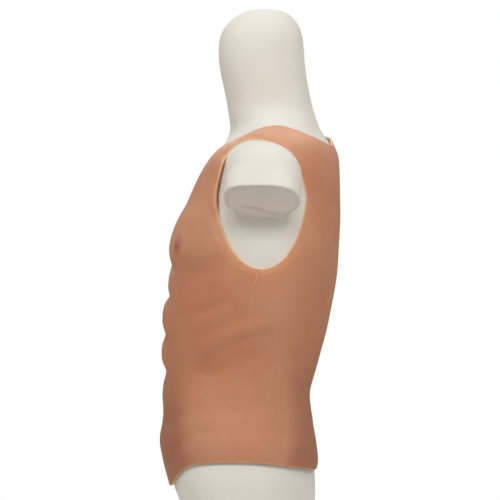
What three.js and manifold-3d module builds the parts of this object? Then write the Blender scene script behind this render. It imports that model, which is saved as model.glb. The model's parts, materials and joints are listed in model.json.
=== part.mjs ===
// Countertop torso form on a height-adjustable, swivelling stand, dressed in a
// moulded silicone muscle vest.
//
// Frame: millimetres, +Z up, origin on the floor under the pole.
// The figure faces -Y, its left shoulder is at +X.
import * as THREE from "three";
import { mergeVertices } from "three/addons/utils/BufferGeometryUtils.js";
import Module from "manifold-3d";

const wasm = await Module();
wasm.setup();

// ---------------------------------------------------------------- dimensions
const GAP = 0.3;               // clearance between neighbouring pieces
const HALF_GAP = GAP / 2;

// stand
const BASE_D = 380;            // round steel base plate
const BASE_T = 8;
const FOOT_T = 4;              // rubber pads under the plate
const FOOT_D = 30;
const FOOT_PCD = 330;
const OUTER_POLE_R = 38.1 / 2; // fixed lower tube
const INNER_POLE_R = 31.8 / 2; // sliding upper tube
const POLE_WALL = 1.6;
const OUTER_POLE_TOP = 198;
const INNER_POLE_Z0 = 40;
const INNER_POLE_Z1 = 636;
const COLLAR_Z0 = 174;         // height lock collar on top of the lower tube
const COLLAR_Z1 = 213;
const COLLAR_D = 54;
const SLIDE_BORE_R = 16.6;     // bore of the collar and the sleeve round the inner pole
const STUD_TIP = INNER_POLE_R + 0.4;
const STUD_BORE_R = 4.5;       // bores for both screw studs

// socket under the torso, and boards inside it
const SLEEVE_Z0 = 243;
const SLEEVE_OD = 41;
const FLANGE_D = 96;
const FLANGE_Z0 = 275.4;
const FLANGE_Z1 = 279.4;
const FLANGE_SCREW_PITCH = 60;
const BOARD_Z0 = 279.8;        // plywood bottom board inside the shell
const BOARD_Z1 = 291.8;
const GUIDE_Z0 = 628;          // upper guide board
const GUIDE_Z1 = 637;
const BOARD_CLEAR = 0.6;
const BORE_OVERRUN = 5;        // cutters run this far past a face

// insets from the form surface, outside in
const COVER_T = 2.5;           // foam backed jersey
const SHELL_T = 3.6;           // moulded shell wall
const STRIP_T = 2.2;           // laminate bond strips
const NECK_SLEEVE_T = 4;
const SHELL_OUT = COVER_T + GAP;
const SHELL_IN = SHELL_OUT + SHELL_T;
const STRIP_OUT = SHELL_IN + GAP;
const STRIP_IN = STRIP_OUT + STRIP_T;
const CAVITY_DROP = 20;        // cavities run this far out through the bottom

const NECK_Z = 930;            // head form sits on the torso shell here
const LIP_W = 26;              // cover turned in under the torso
const TUCK_Z = 276.9;

// arm stump
const ARM_JX = 158;            // shoulder centre
const ARM_JY = 31;
const ARM_JZ = 842;
const ARM_TILT = 33 * Math.PI / 180;   // stump axis away from vertical
const ARM_HALF_ACROSS = 48;
const ARM_HALF_DEPTH = 55.5;           // half breadth, fore and aft
const ARM_LENGTH = 52;                 // centre to flat end
const ARM_HALF_UNDER = 30;             // half breadth of the flat end on its under side
const ARM_BLEND = 42;                  // distance over which the round section changes
const ARM_BOARD_T = 9;
// exponents of the end section: outer fore, outer rear, under fore, under rear
const ARM_POWERS = [3.9, 2.8, 1.75, 2.1];

const VEST_MIN = 3.2;          // thinnest silicone
const VEST_SIDE = 4;           // thickness at the widest point
const VEST_CLEAR = 0.4;        // vest inside, off the form surface

// torso and head sections: z, front y, back y, half width, y of widest point,
// superellipse exponent in front of it and behind it
const BODY = [
  [279.6, -88.1, 92.8, 167.0, 0.0, 2.30, 2.40], [310.8, -94.5, 98.0, 171.5, -6.0, 2.30, 2.45],
  [338.9, -103.6, 100.5, 173.0, -11.0, 2.30, 2.50], [357.6, -111.2, 100.9, 172.5, -13.5, 2.30, 2.50],
  [376.3, -118.2, 100.6, 170.5, -15.5, 2.30, 2.50], [396.6, -125.4, 99.5, 167.0, -17.0, 2.30, 2.45],
  [420.0, -129.0, 97.3, 161.5, -16.5, 2.30, 2.40], [451.2, -127.4, 93.0, 153.0, -15.0, 2.30, 2.35],
  [482.4, -124.2, 88.0, 145.5, -12.5, 2.30, 2.30], [502.7, -122.9, 86.1, 143.0, -11.0, 2.30, 2.25],
  [521.4, -122.0, 88.6, 142.5, -8.5, 2.30, 2.25], [552.6, -120.5, 97.0, 144.5, -4.0, 2.30, 2.25],
  [591.6, -117.8, 107.5, 150.5, 2.0, 2.35, 2.25], [630.6, -113.4, 116.7, 158.0, 9.0, 2.40, 2.30],
  [669.6, -108.8, 123.7, 166.0, 15.5, 2.45, 2.35], [703.9, -105.7, 128.2, 170.0, 21.0, 2.50, 2.40],
  [732.0, -102.8, 130.9, 171.0, 24.0, 2.55, 2.40], [755.4, -99.0, 132.6, 169.0, 26.5, 2.55, 2.35],
  [778.8, -93.6, 133.8, 166.0, 28.5, 2.50, 2.30], [802.2, -87.3, 134.8, 164.0, 30.0, 2.40, 2.25],
  [825.6, -80.4, 134.9, 165.0, 30.0, 2.30, 2.20], [847.4, -71.9, 134.5, 168.0, 29.0, 2.20, 2.15],
  [863.0, -64.1, 133.5, 169.5, 27.5, 2.10, 2.05], [875.5, -56.2, 131.8, 168.0, 26.0, 1.95, 1.90],
  [884.9, -49.0, 129.3, 164.0, 26.0, 1.82, 1.75], [891.1, -44.1, 127.0, 157.5, 27.5, 1.72, 1.64],
  [897.4, -40.0, 123.9, 146.0, 31.0, 1.62, 1.55], [903.6, -36.3, 120.1, 130.5, 36.0, 1.54, 1.50],
  [909.8, -33.3, 115.9, 114.0, 41.0, 1.50, 1.52], [916.1, -31.3, 112.0, 99.0, 44.0, 1.52, 1.58],
  [922.3, -30.7, 108.3, 86.5, 45.0, 1.60, 1.68], [928.6, -30.9, 105.8, 76.0, 43.0, 1.72, 1.80],
  [934.8, -31.7, 103.7, 69.0, 39.5, 1.85, 1.90], [941.0, -32.6, 101.6, 64.0, 36.0, 1.95, 1.95],
  [948.8, -33.7, 98.9, 60.0, 33.0, 2.00, 2.00], [959.8, -35.4, 96.3, 57.5, 30.0, 2.00, 2.00],
  [981.6, -40.1, 91.4, 56.0, 25.0, 2.05, 2.00], [1005.0, -45.1, 87.7, 55.5, 20.5, 2.10, 2.00],
  [1028.4, -48.4, 85.0, 55.0, 18.0, 2.10, 2.05], [1048.7, -48.8, 83.6, 54.0, 17.5, 2.10, 2.05],
  [1062.7, -47.0, 82.1, 52.0, 17.5, 2.05, 2.05], [1072.1, -43.5, 79.7, 49.5, 18.0, 2.00, 2.00],
  [1081.4, -37.3, 75.8, 45.5, 19.0, 2.00, 2.00], [1090.8, -28.5, 69.6, 39.5, 20.5, 2.00, 2.00],
  [1095.5, -22.5, 65.5, 35.0, 21.5, 2.00, 2.00], [1100.2, -14.5, 58.5, 29.0, 22.0, 2.00, 2.00],
  [1104.8, -2.5, 48.4, 20.0, 23.0, 2.00, 2.00], [1107.0, 12.5, 32.8, 8.0, 23.0, 2.00, 2.00],
  [1108.0, 23.1, 23.7, 0.3, 23.0, 2.00, 2.00],
];
const FORM_Z0 = BODY[0][0];

// heights of the rings the form is lofted through, and its top point
const FORM_ROWS = [
  FORM_Z0, 318, 357.6, 396.6, 440, 475, 503, 535, 590, 650, 704, 760, 810, 845, 868, 886, 900,
  915, 930, 948, 968, 1000, 1035, 1066, 1088, 1102,
];
const APEX = [0, 23, 1108];

// outside of the vest on the front centre line: z, y
const VEST_FRONT = [
  [357.6, -119.0], [370.1, -123.1], [379.4, -125.9], [388.8, -128.5], [398.2, -131.4],
  [407.5, -133.7], [416.9, -135.7], [426.2, -137.7], [435.6, -139.0], [445.0, -138.9],
  [454.3, -137.4], [463.7, -135.6], [473.0, -133.9], [482.4, -132.8], [491.8, -132.8],
  [501.1, -133.6], [510.5, -134.0], [519.8, -133.2], [529.2, -132.1], [538.6, -130.1],
  [544.8, -129.4], [549.5, -130.1], [557.3, -132.5], [566.6, -134.3], [576.0, -134.5],
  [585.4, -133.8], [594.7, -132.2], [599.4, -130.7], [602.5, -130.1], [607.2, -130.7],
  [613.4, -131.9], [622.8, -132.7], [632.2, -132.4], [641.5, -131.1], [650.9, -128.7],
  [657.1, -125.6], [661.8, -123.2], [664.9, -122.6], [668.0, -123.0], [672.7, -123.9],
  [679.0, -124.4], [688.3, -123.4], [694.6, -121.0], [699.2, -118.2], [702.4, -117.3],
  [705.5, -118.4], [710.2, -120.7], [716.4, -122.6], [725.8, -123.9], [735.1, -123.7],
  [744.5, -122.5], [753.8, -120.3], [763.2, -117.3], [772.6, -113.7], [781.9, -109.2],
  [791.3, -104.0], [800.6, -98.4], [810.0, -94.2], [819.4, -90.3], [828.7, -86.1],
  [838.1, -81.9], [847.4, -77.2], [856.8, -71.8], [866.2, -65.2], [875.5, -58.0],
  [884.9, -51.2], [894.2, -41.6], [911.4, -34.5], [937.9, -32.6],
];
// the same on the back centre line
const VEST_BACK = [
  [357.6, 102.3], [385.7, 102.3], [390.4, 103.0], [395.0, 105.0], [401.3, 105.9],
  [407.5, 105.8], [416.9, 105.0], [435.6, 102.6], [454.3, 99.2], [473.0, 95.9],
  [482.4, 93.9], [491.8, 92.5], [501.1, 91.7], [508.9, 91.9], [516.7, 93.0],
  [526.1, 95.6], [538.6, 99.4], [557.3, 104.7], [576.0, 109.7], [594.7, 115.0],
  [613.4, 119.5], [632.2, 123.2], [650.9, 126.8], [669.6, 130.3], [688.3, 133.1],
  [707.0, 135.1], [725.8, 136.8], [744.5, 137.9], [763.2, 139.0], [781.9, 140.1],
  [800.6, 140.6], [828.7, 140.4], [847.4, 139.9], [866.2, 139.2], [875.5, 138.1],
  [884.9, 135.6], [894.2, 131.0], [903.6, 124.8], [913.0, 119.0], [925.4, 111.5],
  [937.9, 105.5],
];
// heights of the rings the vest is lofted through
const VEST_ROWS = [
  357.6, 396.6, 440, 487, 510, 545, 572, 602, 628, 664, 680, 702.4, 722, 750, 785, 820, 850,
  872, 888, 903, 918, 936,
];

// vest openings seen along X: y, z
const ARMHOLE = [
  [17.7, 897.2], [3, 896.2], [-9.4, 891.4], [-19.4, 884], [-24.8, 876.4], [-28.6, 868],
  [-32.5, 854.7], [-36.6, 837.7], [-40.2, 820.6], [-41.4, 806.8], [-39.7, 789.8],
  [-35.5, 772.6], [-28.2, 755.6], [-19.4, 738.6], [-9.1, 725.1], [2.7, 715.1],
  [14.7, 708.3], [26.5, 705.3], [39.9, 706.6], [53.2, 713.3], [64.8, 723.5], [74.9, 738.6],
  [83, 755.6], [89.5, 776.1], [92.7, 793.2], [94.4, 810.1], [92.7, 823.9], [88.6, 837.2],
  [82.9, 850.6], [74.6, 864], [63, 875.8], [49.4, 886], [35.6, 893],
];
const NECKLINE = [
  [-52, 887.5], [-44.6, 889.5], [-31.1, 895.3], [-14.8, 902.6], [0.7, 908.8], [13.7, 915],
  [30.4, 920.1], [47, 921.6], [59.9, 920.5], [72.8, 916.5], [87.5, 910.4], [103.3, 903.7],
  [114.5, 897.9], [123.5, 892],
];
const HEM = [
  [-126, 367.5], [-121, 369.2], [-116, 373], [-111, 379], [-106.8, 384.3], [-102.7, 390.6],
  [-98.9, 395.6], [-88.6, 405.4], [-78.9, 411.3], [-67.8, 414.1], [-40.3, 417.1],
  [-10.6, 418.3], [26, 416.5], [47.7, 413.4], [69, 409.1], [90, 403.2], [99.4, 398.7],
  [103, 394.8], [106, 389],
];
// side joint between the two vest panels, and over the shoulder: z, y
const VEST_SEAM = [
  [340, -18], [418, -18], [451, -15.7], [509, -10.6], [561.5, 0.1], [606, 8], [651, 13.1],
  [683.5, 20.1], [704, 23.9], [740, 26], [880, 28], [960, 28],
];
// side joint between the two torso shells: z, y
const SHELL_SEAM = [
  [200, 0], [280, 0], [357, -13], [440, -15], [530, -8], [620, 7], [704, 21], [780, 28.5],
  [1000, 30],
];

// ----------------------------------------------------------------- materials
const standard = (options) => new THREE.MeshStandardMaterial(options);
const SILICONE = standard({ color: 0xb77d5f, roughness: 0.55, metalness: 0 });
const JERSEY = standard({ color: 0xe4e0d5, roughness: 0.95, metalness: 0 });
const GRP = standard({ color: 0xd9d2bd, roughness: 0.6, metalness: 0 });
const FOAM = standard({ color: 0xe9e6dc, roughness: 0.9, metalness: 0 });
const PLY = standard({ color: 0xc79f6c, roughness: 0.7, metalness: 0 });
const CHROME = standard({ color: 0xd2d4d6, roughness: 0.15, metalness: 1 });
const STEEL = standard({ color: 0xaeb1b3, roughness: 0.35, metalness: 1 });
const ZINC = standard({ color: 0xb9bcbf, roughness: 0.4, metalness: 1 });
const BLACK = standard({ color: 0x1c1c1d, roughness: 0.5, metalness: 0 });
const NYLON = standard({ color: 0xeceae2, roughness: 0.5, metalness: 0 });
const RUBBER = standard({ color: 0x202020, roughness: 0.9, metalness: 0 });

// ------------------------------------------------------------------- helpers
const root = new THREE.Group();
function add(name, geometry, material) {
  const mesh = new THREE.Mesh(geometry, material);
  mesh.name = name;
  root.add(mesh);
}

function indexedGeometry(positions, triangles) {
  const geometry = new THREE.BufferGeometry();
  geometry.setAttribute("position", new THREE.Float32BufferAttribute(positions, 3));
  geometry.setIndex(Array.from(triangles));
  geometry.computeVertexNormals();
  return geometry;
}

// three.js geometry to Manifold solid, and back
function solid(geometry) {
  const bare = geometry.clone();
  bare.deleteAttribute("normal");
  bare.deleteAttribute("uv");
  const merged = mergeVertices(bare, 1e-4);
  return new wasm.Manifold(new wasm.Mesh({
    numProp: 3,
    vertProperties: new Float32Array(merged.attributes.position.array),
    triVerts: new Uint32Array(merged.index.array),
  }));
}
function geometryOf(manifold) {
  const mesh = manifold.getMesh();
  return indexedGeometry(mesh.vertProperties, mesh.triVerts);
}

// closed loft through rings that run counter-clockwise about the way they are
// stacked; an apex point may close the last ring
function loft(rings, apex) {
  const count = rings[0].length;
  const points = rings.flat();
  const triangles = [];
  const distance = (i, j) => Math.hypot(...points[i].map((v, k) => v - points[j][k]));
  for (let i = 0; i + 1 < rings.length; i++) {
    for (let j = 0; j < count; j++) {
      const low = i * count + j;
      const lowNext = i * count + (j + 1) % count;
      const high = low + count;
      const highNext = lowNext + count;
      // split along the shorter diagonal
      if (distance(low, highNext) <= distance(lowNext, high)) {
        triangles.push(low, lowNext, highNext, low, highNext, high);
      } else {
        triangles.push(low, lowNext, high, lowNext, highNext, high);
      }
    }
  }
  const cap = (first, centre, flip) => {
    const hub = points.length;
    points.push(centre);
    for (let j = 0; j < count; j++) {
      const here = first + j;
      const next = first + (j + 1) % count;
      if (flip) triangles.push(next, here, hub);
      else triangles.push(here, next, hub);
    }
  };
  const mean = (ring) => [0, 1, 2].map((k) => ring.reduce((sum, p) => sum + p[k], 0) / count);
  cap(0, mean(rings[0]), true);
  cap((rings.length - 1) * count, apex || mean(rings[rings.length - 1]), false);
  return indexedGeometry(points.flat(), triangles);
}

function mirrorX(geometry) {
  const mirrored = geometry.clone().scale(-1, 1, 1);
  const index = Array.from(mirrored.index.array);
  for (let i = 0; i < index.length; i += 3) {
    [index[i], index[i + 1]] = [index[i + 1], index[i]];
  }
  mirrored.setIndex(index);
  mirrored.computeVertexNormals();
  return mirrored;
}

// prism of a (y, z) outline, running along X from x0 to x1
function prismX(outline, x0, x1) {
  const shape = new THREE.Shape(outline.map(([y, z]) => new THREE.Vector2(y, z)));
  const options = { depth: x1 - x0, bevelEnabled: false, curveSegments: 1 };
  const geometry = new THREE.ExtrudeGeometry(shape, options);
  geometry.applyMatrix4(new THREE.Matrix4().set(
    0, 0, 1, x0,
    1, 0, 0, 0,
    0, 1, 0, 0,
    0, 0, 0, 1,
  ));
  return solid(geometry);
}

// everything between two heights
function slab(z0, z1) {
  const geometry = new THREE.BoxGeometry(800, 800, z1 - z0);
  geometry.translate(0, 0, (z0 + z1) / 2);
  return solid(geometry);
}

// turned part about +Z from [radius, z] points; a profile that starts off the
// axis is closed back to its first point
function turned(profile, segments = 24) {
  const closed = profile[0][0] > 0 ? [...profile, profile[0]] : profile;
  const points = closed.map(([r, z]) => new THREE.Vector2(r, z));
  return new THREE.LatheGeometry(points, segments).rotateX(Math.PI / 2);
}
const tube = (outerR, innerR, z0, z1) =>
  turned([[innerR, z0], [outerR, z0], [outerR, z1], [innerR, z1]]);
const disc = (r, z0, z1, segments) => turned([[0, z0], [r, z0], [r, z1], [0, z1]], segments);

// lay a part made about +Z along +Y, its axis at height z
const alongY = (geometry, z) => geometry.rotateX(-Math.PI / 2).translate(0, 0, z);
const rodY = (r, y0, y1, z) => solid(alongY(disc(r, y0, y1, 16), z));

// region in front of a (z, y) line moved back by shift
const inFrontOf = (line, shift) => prismX([
  ...line.map(([z, y]) => [y + shift, z]),
  [-300, line[line.length - 1][0]],
  [-300, line[0][0]],
], -300, 300);

// front and back pieces of a body parted along a line
function addSplit(prefix, suffix, body, line, material) {
  const frontPiece = body.intersect(inFrontOf(line, -HALF_GAP));
  const backPiece = body.subtract(inFrontOf(line, HALF_GAP));
  add(`${prefix}front${suffix}`, geometryOf(frontPiece), material);
  add(`${prefix}back${suffix}`, geometryOf(backPiece), material);
}

// --------------------------------------------------------- torso form surface
// monotone cubic through one column of a table whose first column is z
function interpolate(table, column, z) {
  const last = table.length - 1;
  if (z <= table[0][0]) return table[0][column];
  if (z >= table[last][0]) return table[last][column];
  const step = (k) => table[k + 1][0] - table[k][0];
  const rate = (k) => (table[k + 1][column] - table[k][column]) / step(k);
  const slope = (k) => {
    if (k === 0) return rate(0);
    if (k === last) return rate(last - 1);
    const before = rate(k - 1);
    const after = rate(k);
    if (before * after <= 0) return 0;
    const w1 = 2 * step(k) + step(k - 1);
    const w2 = step(k) + 2 * step(k - 1);
    return (w1 + w2) / (w1 / before + w2 / after);
  };
  let i = 0;
  while (table[i + 1][0] < z) i++;
  const h = step(i);
  const t = (z - table[i][0]) / h;
  return (1 + 2 * t) * (1 - t) ** 2 * table[i][column] + t * (1 - t) ** 2 * h * slope(i)
    + t * t * (3 - 2 * t) * table[i + 1][column] + t * t * (t - 1) * h * slope(i + 1);
}
const bodySection = (z) => [1, 2, 3, 4, 5, 6].map((column) => interpolate(BODY, column, z));

// radius factor of a superellipse in a direction given by its cosine and sine
const superRadius = (cos, sin, power) =>
  (Math.abs(cos) ** power + Math.abs(sin) ** power) ** (-1 / power);

// points spread evenly along one quarter of a superellipse, centre line to side
function quarter(depth, width, power, count) {
  const SAMPLES = 120;
  const fine = [[0, depth]];
  const lengths = [0];
  for (let i = 1; i <= SAMPLES; i++) {
    const t = (i / SAMPLES) * Math.PI / 2;
    const sin = Math.sin(t);
    const cos = Math.cos(t);
    const r = superRadius(cos, sin, power);
    const x = width * r * sin;
    const y = depth * r * cos;
    lengths.push(lengths[i - 1] + Math.hypot(x - fine[i - 1][0], y - fine[i - 1][1]));
    fine.push([x, y]);
  }
  return Array.from({ length: count + 1 }, (_, k) => {
    const target = (k / count) * lengths[SAMPLES];
    let i = 0;
    while (i < SAMPLES - 1 && lengths[i + 1] < target) i++;
    const t = (target - lengths[i]) / (lengths[i + 1] - lengths[i]);
    return fine[i].map((v, axis) => v + t * (fine[i + 1][axis] - v));
  });
}

// ring of a section, from the front centre line round by +X
const QUARTER_FACETS = 5;
function sectionRing([frontY, backY, halfWidth, widestY, frontPower, backPower], z) {
  const fore = quarter(frontY - widestY, halfWidth, frontPower, QUARTER_FACETS);
  const rear = quarter(backY - widestY, halfWidth, backPower, QUARTER_FACETS);
  const half = [...fore, ...rear.slice(0, -1).reverse()].map(([x, y]) => [x, widestY + y, z]);
  half[0][0] = 0;
  half[half.length - 1][0] = 0;
  const other = half.slice(1, -1).reverse().map(([x, y]) => [-x, y, z]);
  return half.concat(other);
}
const bodyRing = (z) => sectionRing(bodySection(z), z);
const formRings = FORM_ROWS.map(bodyRing);
const RING_COUNT = formRings[0].length;

// outward normals of all ring points in order, level at the bottom edge
function ringNormals() {
  const geometry = loft(formRings, APEX);
  const position = geometry.attributes.position;
  const index = geometry.index.array;
  const bottomCentre = position.count - 2;
  const normals = formRings.flat().map(() => new THREE.Vector3());
  for (let i = 0; i < index.length; i += 3) {
    const corners = [index[i], index[i + 1], index[i + 2]];
    if (corners.includes(bottomCentre)) continue;
    const [a, b, c] = corners.map((k) => new THREE.Vector3().fromBufferAttribute(position, k));
    const areaNormal = b.sub(a).cross(c.sub(a));
    corners.filter((k) => k < bottomCentre).forEach((k) => normals[k].add(areaNormal));
  }
  normals.slice(0, RING_COUNT).forEach((normal) => { normal.z = 0; });
  normals.forEach((normal) => normal.normalize());
  return normals;
}
const formNormals = ringNormals();

// torso and head surface moved in by inset, optionally run out through the bottom
function formLoft(inset, drop = 0) {
  const rings = formRings.map((ring, i) => ring.map(([x, y, z], j) => {
    const normal = formNormals[i * RING_COUNT + j];
    return [x - inset * normal.x, y - inset * normal.y, z - inset * normal.z];
  }));
  if (drop) rings.unshift(rings[0].map(([x, y, z]) => [x, y, z - drop]));
  return loft(rings, [APEX[0], APEX[1], APEX[2] - inset]);
}
const formLayer = (outInset, inInset) =>
  solid(formLoft(outInset)).subtract(solid(formLoft(inInset, CAVITY_DROP)));

// point of a left stump section, t along the axis towards the shoulder; towards
// the end the outer side grows squarer and the under side flatter
function stumpPoint(t, across, depth, angle) {
  const tiltSin = Math.sin(ARM_TILT);
  const tiltCos = Math.cos(ARM_TILT);
  const cos = Math.cos(angle);
  const sin = Math.sin(angle);
  const grow = Math.min(1, Math.max(0, -t / ARM_BLEND));
  const blend = grow * grow * (3 - 2 * grow);
  const outer = cos > 1e-6;
  const endPower = ARM_POWERS[(outer ? 0 : 2) + (sin < 0 ? 0 : 1)];
  const r = superRadius(cos, sin, 2 + blend * (endPower - 2));
  const breadth = outer ? across : across - (ARM_HALF_ACROSS - ARM_HALF_UNDER) * blend;
  const a = breadth * r * cos;
  const b = depth * r * sin;
  return [
    ARM_JX - tiltSin * t + tiltCos * a,
    ARM_JY + b,
    ARM_JZ + tiltCos * t + tiltSin * a,
  ];
}
const STUMP_FACETS = 20;
const stumpRing = (t, across, depth) => Array.from({ length: STUMP_FACETS }, (_, j) =>
  stumpPoint(t, across, depth, (2 * Math.PI * j) / STUMP_FACETS));

// left arm stump moved in by inset, its flat end optionally run out by extra
function stumpLoft(inset, extra = 0, bevel = 2.5) {
  const across = ARM_HALF_ACROSS - inset;
  const depth = ARM_HALF_DEPTH - inset;
  const end = ARM_LENGTH - inset + extra;
  const scaledRing = (t, factor) => stumpRing(t, across * factor, depth * factor);
  const rings = [
    scaledRing(-end, (across - bevel) / across),
    scaledRing(-end + bevel, 1),
    scaledRing(-22, 1),
    scaledRing(0, 1),
  ];
  // domed shoulder
  for (const degrees of [30, 60]) {
    const angle = degrees * Math.PI / 180;
    rings.push(scaledRing(across * Math.sin(angle), Math.cos(angle)));
  }
  return loft(rings, stumpPoint(across, 0, 0, 0));
}

// torso, head and both stumps
function formSolid(inset, drop = 0, armExtra = 0) {
  const stump = stumpLoft(inset, armExtra);
  return solid(formLoft(inset, drop)).add(solid(stump)).add(solid(mirrorX(stump)));
}

// bottom outline of the torso with its outward normals
const bottomEdge = formRings[0].map(([x, y], j, ring) => {
  const before = ring[(j + RING_COUNT - 1) % RING_COUNT];
  const after = ring[(j + 1) % RING_COUNT];
  const dx = after[0] - before[0];
  const dy = after[1] - before[1];
  const length = Math.hypot(dx, dy);
  return { x, y, nx: dy / length, ny: -dx / length };
});

// prism of the bottom outline moved in by inset
function bottomPrism(inset, z0, z1) {
  const ringAt = (z) => bottomEdge.map(({ x, y, nx, ny }) => [x - inset * nx, y - inset * ny, z]);
  return solid(loft([ringAt(z0), ringAt(z1)]));
}

// --------------------------------------------------------------- jersey cover
function jerseyCover() {
  const lipOpening = bottomPrism(LIP_W, 200, 300);
  const outer = formSolid(0).add(bottomPrism(0, TUCK_Z, FORM_Z0 + 0.1));
  return geometryOf(outer.subtract(formSolid(COVER_T)).subtract(lipOpening));
}
add("jersey_cover", jerseyCover(), JERSEY);

// -------------------------------------------------------- torso and head shells
const shell = formSolid(SHELL_OUT).subtract(formSolid(SHELL_IN, CAVITY_DROP, 20));
addSplit("torso_shell_", "", shell.subtract(slab(NECK_Z - HALF_GAP, 1300)), SHELL_SEAM, GRP);
add("head_form", geometryOf(shell.subtract(slab(100, NECK_Z + HALF_GAP))), FOAM);

// laminate strips that bond the two halves along the sides, inside
function stripBand(grow) {
  const halfWidth = 14 + grow;
  const line = SHELL_SEAM.filter(([z]) => z > 300 && z < 790);
  const frontEdge = line.map(([z, y]) => [y - halfWidth, z]);
  const backEdge = line.map(([z, y]) => [y + halfWidth, z]).reverse();
  return prismX([...frontEdge, ...backEdge], -300, 300);
}
const strips = formLayer(STRIP_OUT, STRIP_IN).intersect(stripBand(0)).intersect(slab(360, 770));
for (const [side, sign] of [["left", 1], ["right", -1]]) {
  const half = new THREE.BoxGeometry(300, 600, 2000).translate(sign * 150, 0, 500);
  add(`bond_strip_${side}`, geometryOf(strips.intersect(solid(half))), GRP);
}

// sleeve inside the neck joint
const neckLayer = formLayer(STRIP_OUT, STRIP_OUT + NECK_SLEEVE_T);
add("neck_sleeve", geometryOf(neckLayer.intersect(slab(NECK_Z - 15, NECK_Z + 17))), GRP);

// end board inside the left arm stump
function armBoard() {
  const t = -(ARM_LENGTH - SHELL_OUT);
  const across = ARM_HALF_ACROSS - SHELL_IN - 0.5;
  const depth = ARM_HALF_DEPTH - SHELL_IN - 0.5;
  const board = loft([
    stumpRing(t, across, depth),
    stumpRing(t + ARM_BOARD_T, across, depth),
  ]);
  // the inner corner is cut back where the torso wall crosses the stump
  const keep = solid(stumpLoft(SHELL_IN + 0.4, 30, 0.5))
    .subtract(solid(formLoft(SHELL_OUT - 0.4, CAVITY_DROP)));
  return geometryOf(solid(board).intersect(keep));
}
const leftArmBoard = armBoard();
add("arm_board_left", leftArmBoard, PLY);
add("arm_board_right", mirrorX(leftArmBoard), PLY);

// --------------------------------------------------------------------- boards
const flangeScrewPlaces = [[1, 1], [-1, 1], [-1, -1], [1, -1]]
  .map((signs) => signs.map((sign) => sign * FLANGE_SCREW_PITCH / 2));

function cutScrewHoles(body, r, z0, z1) {
  return flangeScrewPlaces.reduce((rest, [x, y]) => {
    const hole = disc(r, z0 - BORE_OVERRUN, z1 + BORE_OVERRUN, 8).translate(x, y, 0);
    return rest.subtract(solid(hole));
  }, body);
}
const poleHole = (r, z0, z1) => solid(disc(r, z0 - BORE_OVERRUN, z1 + BORE_OVERRUN));

function bottomBoard() {
  const board = bottomPrism(SHELL_IN + BOARD_CLEAR, BOARD_Z0, BOARD_Z1)
    .subtract(poleHole(22, BOARD_Z0, BOARD_Z1));
  return geometryOf(cutScrewHoles(board, 2.4, BOARD_Z0, BOARD_Z1));
}
add("bottom_board", bottomBoard(), PLY);

// notched at the sides for the bond strips
function guideBoard() {
  const notches = formLayer(SHELL_IN - 2, STRIP_IN + BOARD_CLEAR)
    .intersect(stripBand(BOARD_CLEAR));
  return geometryOf(solid(formLoft(SHELL_IN + BOARD_CLEAR, CAVITY_DROP))
    .intersect(slab(GUIDE_Z0, GUIDE_Z1))
    .subtract(notches)
    .subtract(poleHole(21, GUIDE_Z0, GUIDE_Z1)));
}
add("guide_board", guideBoard(), PLY);

// thrust cup in the guide board: the pole carries the figure here
add("thrust_cup", turned([
  [0, INNER_POLE_Z1 + 3.6], [13, INNER_POLE_Z1 + 3.6], [16.5, INNER_POLE_Z1 + 0.2],
  [16.5, GUIDE_Z0 - 14], [20.6, GUIDE_Z0 - 14], [20.6, GUIDE_Z1 + 0.4], [27, GUIDE_Z1 + 0.4],
  [27, GUIDE_Z1 + 4], [20, INNER_POLE_Z1 + 9], [0, INNER_POLE_Z1 + 9],
], 20), NYLON);

// --------------------------------------------------------------------- socket
const SOCKET_SCREW_Z = 258;
const SOCKET_BOSS_END = 27;

// flange and sleeve, with a threaded boss for the thumb screw towards +Y
function socketFlange() {
  const turnedBody = solid(turned([
    [SLIDE_BORE_R, SLEEVE_Z0], [SLEEVE_OD / 2, SLEEVE_Z0], [SLEEVE_OD / 2, FLANGE_Z0],
    [FLANGE_D / 2 - 1, FLANGE_Z0], [FLANGE_D / 2, FLANGE_Z0 + 1], [FLANGE_D / 2, FLANGE_Z1],
    [SLIDE_BORE_R, FLANGE_Z1],
  ]));
  const boss = rodY(8, 14, SOCKET_BOSS_END, SOCKET_SCREW_Z)
    .subtract(solid(disc(17.5, SOCKET_SCREW_Z - 20, SOCKET_SCREW_Z + 20)));
  return geometryOf(cutScrewHoles(turnedBody, 2.9, FLANGE_Z0, FLANGE_Z1)
    .add(boss)
    .subtract(rodY(STUD_BORE_R, 10, 40, SOCKET_SCREW_Z)));
}
add("socket_flange", socketFlange(), ZINC);

// pan head wood screws
flangeScrewPlaces.forEach(([x, y], i) => {
  const screw = turned([
    [0, FLANGE_Z0 - 3.4], [3, FLANGE_Z0 - 3.2], [4.9, FLANGE_Z0 - 1.6], [4.9, FLANGE_Z0 - GAP],
    [1.9, FLANGE_Z0 - GAP], [1.9, BOARD_Z1 - 2.5], [0, BOARD_Z1 - 0.5],
  ], 8);
  add(`flange_screw_${i + 1}`, screw.translate(x, y, 0), ZINC);
});

// lobed head on a round neck, pointing away from the pole along +Z from seat
function lobedKnob({ radius, lobes, seat, depth }) {
  const count = lobes * 6;
  const outline = Array.from({ length: count }, (_, i) => {
    const angle = (2 * Math.PI * i) / count;
    const r = radius * (0.86 + 0.14 * Math.cos(lobes * angle));
    return new THREE.Vector2(r * Math.cos(angle), r * Math.sin(angle));
  });
  const shape = new THREE.Shape(outline);
  shape.closePath();
  const bevel = 1.5;
  const head = new THREE.ExtrudeGeometry(shape, {
    depth: depth - 2 * bevel,
    bevelEnabled: true,
    bevelThickness: bevel,
    bevelSize: bevel,
    bevelSegments: 1,
    steps: 1,
  });
  head.translate(0, 0, seat + 5);
  return solid(head).add(solid(disc(radius * 0.42, seat, seat + 6, 16)));
}

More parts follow.
